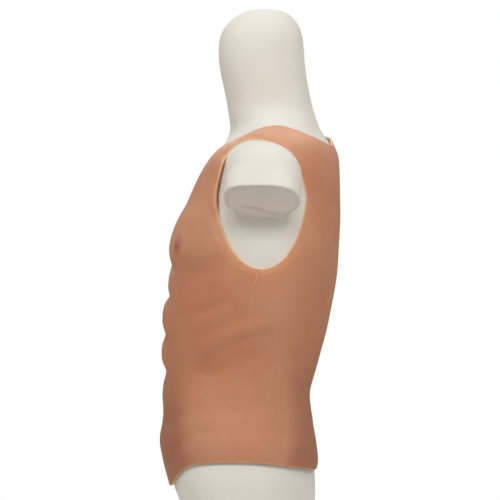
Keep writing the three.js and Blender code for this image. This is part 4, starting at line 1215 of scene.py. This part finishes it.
def seam_bead(levels, seam_distance):
    """A wavering bead along the side joint with a shallow trough beside it."""
    bead = lookup(levels, "412 0.05  440 0.08  560 0.08  640 0.18  676 0.3  686 0.8  706 0.95")
    bead = np.where(levels > 712, 0, bead)
    waver = 0.75 + 0.25 * np.sin(levels / 7.3) * np.sin(levels / 3.1 + 1)
    return ((bead * waver)[:, None] * bell(seam_distance, 0, 1.1)
            - (bead * 0.7)[:, None] * bell(seam_distance, 2.6, 1.3))


def opening_distances(outer):
    """Distances to the arm holes, collar and hem, negative inside the openings."""
    x, y, z = np.moveaxis(outer, 2, 0)
    arm, neck, hem = np.full((3,) + x.shape, NO_OPENING)

    near = (np.abs(x) > 95) & (z > 660)
    points = outer[near][:, 1:]
    line = resample(ARMHOLE, closed=True)
    distance = nearest(points, line, closed=True)[0]
    arm[near] = np.where(inside(points, line), -distance, distance)

    near = z > 840
    points = outer[near][:, 1:]
    # the collar's rear edge ignores the relief
    calm = ring_blur(outer, np.full(len(outer), 7.0))[..., 1]
    points[:, 0] += ((calm - y) * ease(y, 92, 112))[near]
    near_y = y[near]
    points[:, 1] -= (COLLAR_SKEW * ease(-x[near], -56, 52)
                     * (0.75 * np.clip((near_y - 60) / 38, 0, 1) + 0.25 * ease(near_y, 60, 98)))
    line = resample(COLLAR)
    distance = nearest(points, line)[0]
    above = points[:, 1] > np.interp(points[:, 0], line[:, 0], line[:, 1])
    neck[near] = np.where(above, -distance, distance)

    near = z < 470
    points = outer[near][:, 1:]
    line = resample(HEM)
    distance = nearest(points, line)[0]
    below = points[:, 1] < np.interp(points[:, 0], line[:, 0], line[:, 1])
    hem[near] = np.where(below, -distance, distance)
    return arm, neck, hem


def line_vest(outer, under, under_normals, arm, neck, hem, zone):
    """Inner surface, and the outer one with its thickness adjusted near the openings.

    The inner surface lies on the jersey, but is thin and free near the hem and rear collar."""
    normals = grid_normals(outer)
    y = outer[..., 1]
    at_hem = hem < 60
    rim_thickness = np.where(at_hem, 2.3, 2.6) + 3.0 * at_hem * ease(y, -92, -112)
    loose = ease(y, 60, 88)
    worn = np.minimum(1 - (1 - ease(neck, 1, 16)) * loose, ease(hem, 1, 20))[..., None]
    inner = ((outer - normals * rim_thickness[..., None]) * (1 - worn)
             + (under + under_normals * 0.45) * worn)
    # never inside the jersey
    kept = np.minimum(np.minimum(arm, neck), hem) > -6
    for _ in range(4):
        points = inner[kept]
        depth = field(points)
        low = depth < 0.4
        if not low.any():
            break
        points[low] += outward(points[low]) * (0.45 - depth[low])[:, None]
        inner[kept] = points
    # the edge of each arm hole lies on the jersey
    snug = (arm > -6) & (arm < 16) & (zone < 0.7)
    weight = (1 - ease(arm[snug], 8, 16)) * (1 - ease(zone[snug], 0.0, 0.7))
    aim = 0.3 - 0.85 * (1 - ease(arm[snug], 3, 8))
    for _ in range(3):
        points = inner[snug]
        inner[snug] = points - (outward(points)
                                * (np.clip(field(points) - aim, 0, 1.6) * weight)[:, None])
    thickness = ((outer - inner) * normals).sum(2)
    at_arm = np.exp(-(np.clip(arm, 0, None) / 8.0) ** 2) * (1 - ease(zone, 0.0, 0.9))
    at_neck = np.exp(-(np.clip(neck, 0, None) / 7.0) ** 2) * (1 - loose)
    least = 2.4 - 0.8 * np.maximum(at_arm, at_neck)
    outer = outer + normals * np.clip(least - thickness, 0, None)[..., None]
    thinning = (np.clip(thickness - 1.7, 0, 5.0) * at_arm
                + np.clip(thickness - 1.9, 0, 3.0) * at_neck * (1 - at_arm))
    return inner, outer - normals * thinning[..., None]


def vest_tone(outer, hem, raised):
    """How much painted shade darkens the silicone."""
    x, y, z = np.moveaxis(outer, 2, 0)
    wide = np.abs(x)
    # painted shade towards the hem, low in front and low behind, where the surface turns from the
    # light
    tone = (0.55 * (1 - ease(hem, -2, 42))
            + 1.15 * ease(y, -64, -116) * ease(z, 600, 440) * (0.5 + 0.5 * ease(wide, 0, 120)))
    tone += 0.85 * ease(y, 58, 84) * ease(z, 640, 500)
    tone += 0.30 * ease(y, -80, -125) * ease(z, 690, 560)
    tone += 0.12 * ease(z, 520, 430) + 0.16 * ease(y, 66, 104) * (1 - ease(z, 740, 860))
    # painted shade in the grooves, and in three hollows of the flank
    tone += 0.05 * np.clip(-raised - 0.6, 0, 3) * (wide > 10)
    tone += (0.20 * bell(y, -57, 26) * bell(z, 553, 17) + 0.22 * bell(y, 20, 34) * bell(z, 588, 17)
             + 0.10 * bell(y, -60, 22) * bell(z, 643, 9)) * (wide > 90)
    return np.clip(tone, 0, 1.15)


# ------------------------------------------------------------------ vest mesh
# Columns of the vest data, one row per grid or cut point
OUTER, INNER, NORMAL = slice(0, 3), slice(3, 6), slice(6, 9)
PAINTED_SHADE, ZONE, ARM, NECK, EDGE, SEAM_OFF = range(9, 15)
# the fifth, sixth and last marks are painted shade, painted gap shade and painted light
MARKS = ("rim", "edge", "areola", "seam", "tone", "deep", "warm", "pale")


def marks_array(shape, **marks):
    """Vertex attributes in the order of MARKS; those not given are 0."""
    return np.stack([np.broadcast_to(marks.get(name, 0.0), shape) for name in MARKS], -1)


def vest_grid():
    """Data rows of the whole grid, its shape and the column of the left side joint."""
    lower = spaced(876 - VEST_LOW, [(NIPPLE[1] - VEST_LOW, 13, 1.0), (515 - VEST_LOW, 9, 1.7),
                                    (701 - VEST_LOW, 12, 2.0)]) + VEST_LOW
    # fine on the shoulders, where the surface turns level
    levels = np.concatenate([lower, np.arange(877.0, 899, 1.15), np.arange(899.0, 929.5, 0.95)])
    # columns are finer at the nipple, the side joint and the centre lines
    front_arc, rear_arc = 235.0, 225.0
    front = spaced(front_arc, [(118.0, 13, 1.05), (front_arc, 3.5, 0.7),
                               (0.0, 8, 1.9)]) / front_arc
    rear = spaced(rear_arc, [(0.0, 3.5, 0.7), (rear_arc, 8, 2.0)]) / rear_arc
    seam_column = len(front) - 1

    outer, under, under_normals = vest_blank(levels, front, rear)
    outer, zone = stand_proud(outer, under_normals)
    columns = outer.shape[1]
    steps = np.linalg.norm(np.diff(outer[:, :columns // 2 + 1], axis=1), axis=2)
    girth = np.concatenate([np.zeros((len(levels), 1)), np.cumsum(steps, axis=1)], 1)
    girth = np.concatenate([girth, girth[:, 1:-1][:, ::-1]], 1)
    seam_distance = np.minimum(*(np.linalg.norm(outer - outer[:, k:k + 1], axis=2)
                                 for k in (seam_column, columns - seam_column)))
    raised = relief(outer, girth) + seam_bead(levels, seam_distance)
    outer = outer + grid_normals(outer) * raised[..., None]
    arm, neck, hem = opening_distances(outer)
    inner, outer = line_vest(outer, under, under_normals, arm, neck, hem, zone)
    tone = vest_tone(outer, hem, raised)
    data = np.concatenate([outer, inner, grid_normals(outer),
                           np.stack([tone, zone, arm, neck, hem, seam_distance], 2)], 2)
    return data.reshape(-1, data.shape[2]), outer.shape[:2], seam_column


def clip_openings(data, shape, seam_column):
    """Data with the cut points added, and the faces left, each with its panel number."""
    rows, columns = shape
    level = data[:, [ARM, NECK, EDGE]].min(1) - RIM_RADIUS
    i, j = (index.ravel() for index in
            np.meshgrid(np.arange(rows - 1), np.arange(columns), indexing="ij"))
    here, beside = i * columns + j, i * columns + (j + 1) % columns
    corners = np.stack([here, beside, beside + columns, here + columns], 1)
    panels = np.where((j < seam_column) | (j >= columns - seam_column), 0, 1)
    kept = level[corners] > 0
    whole = kept.all(1)
    cut = kept.any(1) & ~whole
    faces = list(zip(corners[whole].tolist(), panels[whole].tolist()))
    added, numbers = [], {}

    def cut_point(a, b):
        key = (a, b) if a < b else (b, a)
        if key not in numbers:
            a, b = key
            t = min(max(level[a] / (level[a] - level[b]), 0.02), 0.98)
            added.append(data[a] * (1 - t) + data[b] * t)
            numbers[key] = rows * columns + len(added) - 1
        return numbers[key]
    for corner_list, panel in zip(corners[cut].tolist(), panels[cut].tolist()):
        face = []
        for a, b in sides(corner_list):
            if level[a] > 0:
                face.append(a)
            if (level[a] > 0) != (level[b] > 0):
                face.append(cut_point(a, b))
        faces.append((face, panel))
    return np.concatenate([data, np.array(added)]), faces


def opening_loops(border):
    """Closed loops of the border edges; scraps of 20 points or fewer are left out."""
    following = defaultdict(list)
    for a, b in border:
        following[a].append(b)
    loops, seen = [], set()
    for start, _ in border:
        if start in seen:
            continue
        loop = []
        ahead = [start]
        while ahead:
            seen.add(ahead[0])
            loop.append(ahead[0])
            ahead = [b for b in following[loop[-1]] if b not in seen]
        loops.append(loop)
    return [loop for loop in loops if len(loop) > 20]


def under_arm(y, z):
    """Share of the low front part of the arm hole's edge."""
    return ease(y, 5, -15) * ease(z, 800, 770)


def outer_marks(data):
    x, y, z = data[:, OUTER].T
    arm, zone = data[:, ARM], data[:, ZONE]
    radius = np.hypot((np.abs(x) - NIPPLE[0]) * 1.12, z - NIPPLE[1])
    areola = (1 - ease(radius, 6.5, 20.0)) * (0.62 + 0.38 * (1 - ease(radius, 5.0, 9.0))
                                             - 0.35 * (1 - ease(radius, 1.5, 4.0)))
    # opening, reach, strength
    edge = np.max([strength * np.exp(-(np.maximum(data[:, opening], 0) / reach) ** 2)
                   for opening, reach, strength in ((ARM, 9.0, 0.5), (NECK, 5.0, 0.3),
                                                    (EDGE, 4.0, 0.25))], 0)
    seam = (np.where(z > 682, 0.66, 0.05 + 0.11 * ease(z, 560, 650))
            * bell(data[:, SEAM_OFF], 0, 0.9))
    # the rim is painted darker low at the front of the arm hole, as painted shade
    rim = 0.8 * bell(arm, RIM_RADIUS, 0.9) * (1 - 0.5 * zone) * (1 - 0.7 * under_arm(y, z))
    # painted light: lighter on the shoulder tops and on the rear flank, where the light falls
    pale = 0.62 * ease(z, 862, 916) + 0.20 * bell(y, 58, 34) * bell(z, 650, 110)
    return marks_array(x.shape, areola=np.where(y < 0, areola, 0), edge=edge,
                       seam=np.where(z < 708, seam, 0), rim=np.where(arm < 6, rim, 0),
                       tone=data[:, PAINTED_SHADE], warm=0.30 * bell(z, 590, 95), pale=pale)


def inner_marks(data):
    at_neck = np.exp(-(np.maximum(data[:, NECK], 0) / 12.0) ** 2)
    # the inner face gets painted gap shade, except near the collar
    return marks_array(at_neck.shape, rim=0.55 * at_neck, edge=0.3, deep=0.35 * (1 - at_neck))


def rim_sections(data, loop, tangents):
    """Positions and marks of the rounded edge, (points, steps, ...), without its two ends."""
    rows = data[loop]
    normals = rows[:, NORMAL]
    away = np.cross(tangents[loop], normals)
    length = np.maximum((normals * normals).sum(1, keepdims=True), 1e-9)
    away -= normals * (away * normals).sum(1, keepdims=True) / length
    away /= np.maximum(np.linalg.norm(away, axis=1, keepdims=True), 1e-9)
    for _ in range(6):
        away = (away + np.roll(away, 1, 0) + np.roll(away, -1, 0)) / 3
        away /= np.linalg.norm(away, axis=1, keepdims=True)
    outer, inner = rows[:, OUTER], rows[:, INNER]
    middle = (outer + inner) / 2
    half = np.linalg.norm(outer - inner, axis=1, keepdims=True) / 2
    bulge = np.minimum(half, RIM_RADIUS * 1.05)
    step = np.arange(1, RIM_STEPS)
    angle = (math.pi * step / RIM_STEPS)[None, :, None]
    places = (middle[:, None] + (outer - middle)[:, None] * np.cos(angle)
              + (away * bulge)[:, None] * np.sin(angle))

    at_hem, at_arm = rows[:, EDGE] < 6, rows[:, ARM] < 6
    lightness = np.where(at_hem, 0.30, np.where(at_arm, 0.85, 0.6))
    shaded = ~at_hem & at_arm
    lightness = lightness * (1 - 0.40 * shaded * under_arm(outer[:, 1], outer[:, 2]))
    zone = rows[:, ZONE, None]
    rim = (lightness[:, None] * (1 - 0.4 * zone)) * (1 - zone * ease(step, 2.0, 3.5))
    # painted shade along the hem's rim
    return places, marks_array(rim.shape, rim=rim, edge=0.2, tone=0.5 * at_hem[:, None],
                               # painted gap shade on the inner steps of the rim at the front of
                               # the arm hole
                               deep=zone * ease(step, 2.4, 3.8))


def build_vest():
    data, faces = clip_openings(*vest_grid())
    owner = {side: panel for face, panel in faces for side in sides(face)}
    border = [(a, b) for a, b in owner if (b, a) not in owner]
    tangents = np.zeros((len(data), 3))
    for a, b in border:
        span = data[b, OUTER] - data[a, OUTER]
        tangents[a] += span
        tangents[b] += span
    loops = opening_loops(border)
    # sources of panel vertices by key: a letter for the surface, then the point
    surfaces = {"o": (data[:, OUTER], outer_marks(data)), "i": (data[:, INNER], inner_marks(data))}
    rims = {}
    for loop in loops:
        rims.update(zip(loop, zip(*rim_sections(data, loop, tangents))))

    def panel_mesh(panel):
        """Closed panel: two skins, rounded edges and walls at the side joints."""
        verts, marks, numbers, out = [], [], {}, []

        def number(key, place, mark):
            if key not in numbers:
                numbers[key] = len(verts)
                verts.append(place)
                marks.append(mark)
            return numbers[key]

        def skin_number(surface, point):
            places, point_marks = surfaces[surface]
            return number((surface, point), places[point], point_marks[point])

        def section(point):
            places, rim_marks = rims[point]
            return [skin_number("o", point),
                    *(number(("r", point, k), places[k], rim_marks[k])
                      for k in range(RIM_STEPS - 1)),
                    skin_number("i", point)]
        for face, face_panel in faces:
            if face_panel == panel:
                out.append([skin_number("o", point) for point in face])
                out.append([skin_number("i", point) for point in face][::-1])
        for loop in loops:
            for a, b in sides(loop):
                if owner.get((a, b)) == panel:
                    near, far = section(a), section(b)
                    for k in range(RIM_STEPS):
                        out.append((far[k], near[k], near[k + 1], far[k + 1]))
        for (a, b), side_panel in owner.items():
            if side_panel == panel and owner.get((b, a), panel) != panel:
                out.append([numbers[key] for key in (("o", b), ("o", a), ("i", a), ("i", b))])
        # end caps of the rounded edges where the panels meet
        for loop in loops:
            for k, point in enumerate(loop):
                before = owner.get((loop[k - 1], point))
                after = owner.get((point, loop[(k + 1) % len(loop)]))
                if before is not None and after is not None and before != after:
                    ends = section(point)
                    out.append(ends if after == panel else ends[::-1])
        return verts, marks, out

    for panel, (name, node) in enumerate((("vest_front_skin", "vest_front_panel"),
                                          ("vest_back_skin", "vest_back_panel"))):
        verts, marks, panel_faces = panel_mesh(panel)
        ob = new_object(name, verts, panel_faces)
        recalc_normals(ob)
        smooth(ob)
        sharpen(ob, 50)
        for mark, values in zip(MARKS, np.array(marks, np.float32).T):
            attribute = ob.data.attributes.new(mark, "FLOAT", "POINT")
            attribute.data.foreach_set("value", np.ascontiguousarray(values))
        finish_piece(ob, "silicone", "figure", node)


# ------------------------------------------------------------------ stand
PLATE_LOW, PLATE_TOP = 4.3, 12.3
HUB_LOW = PLATE_TOP + 0.3
# node, material slot, moving body, segments, rounding steps, corners (radius, z, rounding)
STAND_PIECES = (
    # pressed disc with a rolled edge and a shallow ring
    ("base_plate", "base_steel", "stand_base", 160, 4,
     [(5.4, PLATE_LOW, 0), (186, PLATE_LOW, 0.4), (190, PLATE_LOW + 2, 1.6),
      (190, PLATE_TOP - 3.2, 3.0), (185.5, PLATE_TOP, 2.2), (96, PLATE_TOP, 0.8),
      (94.5, PLATE_TOP - 0.5, 0.5), (91.5, PLATE_TOP - 0.5, 0.5), (90, PLATE_TOP, 0.8),
      (5.4, PLATE_TOP, 0)]),
    ("base_hub", "chrome", "stand_base", 96, 6,
     [(19.45, HUB_LOW, 0.2), (41.8, HUB_LOW, 0.6), (42, HUB_LOW + 3.2, 1.6),
      (31, HUB_LOW + 8.2, 7), (24.6, HUB_LOW + 16, 7), (23, HUB_LOW + 30.5, 1.4),
      (21.6, HUB_LOW + 32, 0.6), (19.45, HUB_LOW + 32, 0.3)]),
    ("outer_pole", "chrome", "stand_base", 96, 3,
     [(17.45, HUB_LOW, 0.3), (19.05, HUB_LOW, 0.3), (19.05, 198, 0.5), (17.45, 198, 0.5)]),
    ("inner_pole", "chrome", "sliding_pole", 96, 3,
     [(14.3, 40, 0.3), (15.9, 40, 0.3), (15.9, 635.6, 0.5), (14.3, 635.6, 0.5)]),
    ("guide_bush", "nylon", "stand_base", 72, 3,
     [(16.25, 174.2, 0.3), (17.15, 174.2, 0.2), (17.15, 198.3, 0.1), (19.05, 198.3, 0.3),
      (19.05, 201, 0.5), (16.25, 201, 0.4)]),
)
FOOT = [(0, 0, 0), (4.2, 0, 0), (4.2, 1.2, 0.3), (8.2, 1.2, 0.3), (8.2, 0, 0.5), (14.6, 0, 0.7),
        (15, 3.0, 1.0), (14, 4, 0.4), (0, 4, 0)]
FOOT_CIRCLE = 165


def build_stand():
    for node, slot, rides, segments, steps, corners in STAND_PIECES:
        finish_piece(turned(node + "_fine", corners, segments, steps), slot, rides, node)
    for i in range(4):
        angle = math.pi / 4 + i * math.pi / 2
        centre = (FOOT_CIRCLE * math.cos(angle), FOOT_CIRCLE * math.sin(angle), 0)
        foot = turned("foot_pad_fine_%d" % (i + 1), FOOT, 48, sharp=35, centre=centre)
        finish_piece(foot, "rubber", "stand_base", "foot_pad_%d" % (i + 1))


# ------------------------------------------------------------------ locks
LOCK_Z, SOCKET_Z = 206.5, 258.0   # axes of the two screws, which point along +Y
BORE_RADIUS = 4.45
STUD_RADIUS, STUD_START = 3.9, 16.35
THREAD_PITCH = 1.25


def lobed(name, radius, lobes, start, depth, neck_radius, neck_start, z):
    """Knob along +Y with a neck, rounded lobes and a crowned face."""
    columns = lobes * 20
    angles = [2 * math.pi * k / columns for k in range(columns)]
    verts = []
    for y in (neck_start, start - 0.8):
        verts += [(neck_radius * math.cos(a), y, neck_radius * math.sin(a)) for a in angles]
    # scale of the outline, y
    profile = [(0.80, start + 0.2), (0.94, start + 0.9), (1.0, start + 2.6),
               (1.0, start + depth * 0.62), (0.95, start + depth * 0.82),
               (0.84, start + depth * 0.93), (0.6, start + depth * 0.985), (0.3, start + depth)]
    for scale, y in profile:
        for angle in angles:
            lobe = 0.5 + 0.5 * math.cos(lobes * angle)
            reach = radius * (0.80 + 0.20 * lobe ** 0.75) * scale
            verts.append((reach * math.cos(angle), y, reach * math.sin(angle)))
    rings = ring_numbers(0, len(profile) + 2, columns)
    faces = ring_strips(rings) + [rings[0][::-1], rings[-1]]
    ob = new_object(name, np.array(verts) + np.array([0, 0, z]), faces)
    recalc_normals(ob)
    sharpen(ob, 45)
    return ob


def threaded_stud(name, end, z):
    """Stud along +Y with a helical ridge."""
    segments = 48
    rows = int((end - STUD_START) / THREAD_PITCH * 6)
    verts = []
    for i in range(rows + 1):
        y = STUD_START + (end - STUD_START) * i / rows
        for k in range(segments):
            angle = 2 * math.pi * k / segments
            phase = (y / THREAD_PITCH - k / segments) % 1.0
            depth = 0.7 if i in (0, rows) else 0.55 * abs(2 * phase - 1)
            radius = STUD_RADIUS - depth
            verts.append((radius * math.cos(angle), y, radius * math.sin(angle)))
    rings = ring_numbers(0, rows + 1, segments)
    faces = ring_strips(rings) + [rings[0][::-1], rings[-1]]
    ob = new_object(name, np.array(verts) + np.array([0, 0, z]), faces)
    sharpen(ob, 35)
    recalc_normals(ob)
    return ob


def cylinder(name, radius, start, end, segments, **placing):
    corners = [(0, start, 0), (radius, start, 0), (radius, end, 0), (0, end, 0)]
    return turned(name, corners, segments, **placing)


def add_boss(ob, suffix, boss, boss_z, cavity, bore_z, bore_end, bore_segments):
    """Join a boss along +Y, hollowed by the cavity, and bore it for the stud."""
    boss = turned("tmp_boss" + suffix, boss, 64, centre=(0, 0, boss_z), along_y=True)
    boolean(boss, turned("tmp_cut" + suffix, cavity, 96))
    boolean(ob, boss, "UNION")
    boolean(ob, cylinder("tmp_bore" + suffix, BORE_RADIUS, 10, bore_end, bore_segments,
                         centre=(0, 0, bore_z), along_y=True))


def build_lock_collar():
    pole_bore, slide_bore, step_z = 19.4, 16.6, 201.4
    collar = turned("lock_collar_fine", [
        (pole_bore, 174, 0.2), (25.2, 174, 0.8), (27, 176, 1.2), (27, 184.5, 0.5),
        (26.3, 185.2, 0.4), (26.3, 186.2, 0.4), (27, 187, 0.5), (27, 211, 1.4), (25, 213, 1.0),
        (slide_bore, 213, 0.5), (slide_bore, step_z, 0), (pole_bore, step_z, 0)], 96)
    add_boss(collar, "", boss_z=LOCK_Z - 3,
             boss=[(0, 18, 0), (9, 18, 0), (9, 35.8, 1.2), (7.4, 38, 0.6), (0, 38, 0)],
             cavity=[(0, 160, 0), (pole_bore, 160, 0), (pole_bore, step_z, 0),
                     (slide_bore, step_z, 0), (slide_bore, 230, 0), (0, 230, 0)],
             bore_z=LOCK_Z, bore_end=50, bore_segments=48)
    smooth(collar)
    sharpen(collar, 32)
    finish_piece(collar, "black_plastic", "stand_base", "lock_collar")


def build_height_knob():
    knob = lobed("height_knob_fine", radius=22.3, lobes=6, start=42.4, depth=16.4,
                 neck_radius=8.8, neck_start=38.5, z=LOCK_Z)
    finish_piece(knob, "black_plastic", "height_lock", "height_knob")
    stud = threaded_stud("height_knob_stud_fine", 48.0, LOCK_Z)
    finish_piece(stud, "zinc", "height_lock", "height_knob_stud")


def build_socket_flange():
    flange = turned("socket_flange_fine", [
        (16.6, 243, 0.4), (19.6, 243, 0.8), (20.5, 244.6, 0.8), (20.5, 268, 2.0),
        (24, 275.4, 3.0), (46.4, 275.4, 0.6), (48, 276.6, 0.8), (48, 279.4, 0.4),
        (16.6, 279.4, 0.2)], 96, steps=5)
    add_boss(flange, "2", boss_z=SOCKET_Z,
             boss=[(0, 14, 0), (8, 14, 0), (8, 25.6, 1.0), (7, 27, 0.5), (0, 27, 0)],
             cavity=[(0, 235, 0), (17.5, 235, 0), (17.5, 285, 0), (0, 285, 0)],
             bore_z=SOCKET_Z, bore_end=40, bore_segments=54)
    hole = 30
    for x, y in ((hole, hole), (-hole, hole), (-hole, -hole), (hole, -hole)):
        boolean(flange, cylinder("tmp_h", 2.9, 270, 285, 32, centre=(x, y, 0)))
    smooth(flange)
    sharpen(flange, 32)
    finish_piece(flange, "zinc", "figure", "socket_flange")


def build_thumb_screw():
    knob = lobed("socket_thumb_screw_fine", radius=16.4, lobes=5, start=31.2, depth=13.6,
                 neck_radius=6.2, neck_start=27.6, z=SOCKET_Z)
    stud = threaded_stud("tmp_stud", 33.0, SOCKET_Z)
    knob.data.materials.append(MATERIALS["black_plastic"])
    stud.data.materials.append(MATERIALS["zinc"])
    select_only(knob, stud)
    bpy.ops.object.join()
    knob.select_set(False)
    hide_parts("socket_thumb_screw")
    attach(knob, "socket_lock")


def build_cord():
    """Twisted cord in the turned-in edge of the cover."""
    level, inset, radius = 278.2, 28.3, 1.35
    count, columns = 900, 14
    fractions = np.linspace(0, 1, 61)
    shape = body(np.array([TORSO_LOW]))
    ring = ring_grid([TORSO_LOW], shape, shape["side"], fractions, fractions)[0]
    place = np.linspace(0, len(ring), count, endpoint=False)
    index = np.floor(place).astype(int)
    share = (place - index)[:, None]
    path = ring[index] * (1 - share) + ring[(index + 1) % len(ring)] * share
    tangent = np.roll(path, -1, 0) - np.roll(path, 1, 0)
    tangent /= np.linalg.norm(tangent, axis=1, keepdims=True)
    normal = np.stack([tangent[:, 1], -tangent[:, 0], np.zeros(count)], 1)
    centre = path - normal * inset
    centre[:, 2] = level
    verts, faces = [], []
    for i in range(count):
        for k in range(columns):
            angle = 2 * math.pi * k / columns
            reach = radius * (1 + 0.10 * math.cos(3 * (angle + i * 0.22)))
            verts.append(centre[i] + normal[i] * reach * math.cos(angle)
                         + np.array([0, 0, 1]) * reach * 0.92 * math.sin(angle))
    for here, ahead in sides(ring_numbers(0, count, columns)):
        faces += [(a, c, d, b) for (a, b), (c, d) in zip(sides(here), sides(ahead))]
    ob = new_object("cover_cord_fine", verts, faces)
    recalc_normals(ob)
    finish_piece(ob, "jersey", "figure", "cover_cord")


def dress_cad_nodes():
    """Materials for the CAD pieces that stay visible."""
    slots = {part["node"]: part["material_slot"] for part in frame["record"]["subparts"]}
    for name, ob in frame["nodes"].items():
        if ob.hide_render:
            continue
        material = MATERIALS[slots[name]]
        if not ob.material_slots:
            ob.data.materials.append(material)
        for slot in ob.material_slots:
            slot.material = material


# ------------------------------------------------------------------ stage (metres)
LIGHT_COLOR = (1, 0.985, 0.965)
# name, location, height aimed at on the Z axis, size, energy
LIGHTS = (
    ("key", (2.0, 0.1, 2.95), 0.75, (0.9, 0.8), 18.2),
    ("key fore", (1.75, -1.32, 2.9), 0.75, (0.8, 0.8), 18),
    ("key rear", (1.75, 1.45, 2.9), 0.75, (0.8, 0.8), 22.0),
    ("front", (1.3, -2.4, 1.9), 0.8, (1.5, 1.5), 6.0),
    ("rear", (1.3, 2.5, 1.9), 0.8, (1.5, 1.5), 6.5),
    ("far", (-2.2, -0.2, 2.3), 0.75, (1.5, 1.5), 20),
)


def add_aimed(name, data, location, target):
    ob = bpy.data.objects.new(name, data)
    bpy.context.scene.collection.objects.link(ob)
    ob.location = location
    ob.rotation_euler = (Vector(target) - ob.location).to_track_quat("-Z", "Y").to_euler()
    return ob


def build_world():
    """Soft light, warm from below; the camera sees plain white."""
    world = bpy.data.worlds.new("studio")
    bpy.context.scene.world = world
    world.use_nodes = True
    graph = Graph(world.node_tree)
    lighting = graph.tree.nodes["Background"]
    height = graph.xyz("Generated")["Z"]
    graph.feed(lighting.inputs[0], graph.mix(graph.remap(height, -0.35, 0.35),
                                             (0.74, 0.51, 0.33, 1), (1.0, 0.99, 0.975, 1)))
    graph.feed(lighting.inputs[1], 0.44)
    backdrop = graph.node("ShaderNodeBackground", {0: (1, 1, 1, 1), 1: 1.0})
    camera_ray = graph.node("ShaderNodeLightPath").outputs["Is Camera Ray"]
    choice = graph.node("ShaderNodeMixShader", {0: camera_ray, 1: lighting.outputs[0],
                                                2: backdrop.outputs[0]})
    graph.feed(graph.tree.nodes["World Output"].inputs[0], choice.outputs[0])


def build_lights():
    for name, location, aim_height, size, energy in LIGHTS:
        light = bpy.data.lights.new(name, "AREA")
        light.shape = "RECTANGLE"
        light.size, light.size_y = size
        light.energy = energy
        light.color = LIGHT_COLOR
        add_aimed(name, light, location, (0, 0, aim_height))


def build_floor():
    """Pale disc that fades out towards its edge and is clear from below."""
    mesh = bpy.data.meshes.new("floor")
    bm = bmesh.new()
    bmesh.ops.create_circle(bm, cap_ends=True, radius=2.2, segments=96)
    bm.to_mesh(mesh)
    bm.free()
    floor = bpy.data.objects.new("floor", mesh)
    bpy.context.scene.collection.objects.link(floor)
    paint = Material("floor")
    fade = paint.remap(paint.from_axis(paint.xyz()), 0.9, 2.1)
    paint.set(Base_Color=(0.80, 0.80, 0.79, 1), Roughness=0.8)
    clear = paint.node("ShaderNodeBsdfTransparent")
    from_below = paint.node("ShaderNodeNewGeometry").outputs["Backfacing"]
    surface = paint.node("ShaderNodeMixShader", {0: paint.math("MAXIMUM", fade, from_below),
                                                 1: paint.shader.outputs[0],
                                                 2: clear.outputs[0]})
    paint.feed(paint.tree.nodes["Material Output"].inputs[0], surface.outputs[0])
    mesh.materials.append(paint.data)


def build_camera():
    """Level camera, a little behind square-on to the left side."""
    azimuth = math.radians(4)
    distance, height = 3.0, 0.732
    sensor, view_width = 36, 0.780   # sensor in mm; width seen at the axis in metres
    camera = bpy.data.cameras.new("camera")
    location = (distance * math.cos(azimuth), distance * math.sin(azimuth), height)
    ob = add_aimed("camera", camera, location, (0, 0, height))
    camera.sensor_width = sensor
    camera.lens = sensor * distance / view_width
    bpy.context.scene.camera = ob


def build_stage():
    view = bpy.context.scene.view_settings
    view.view_transform = "Standard"
    view.look = "None"
    view.exposure = 0.0
    view.gamma = 1.0
    build_world()
    build_lights()
    build_floor()
    build_camera()


build_jersey()
build_vest()
build_stand()
build_lock_collar()
build_height_knob()
build_socket_flange()
build_thumb_screw()
build_cord()
dress_cad_nodes()
build_stage()
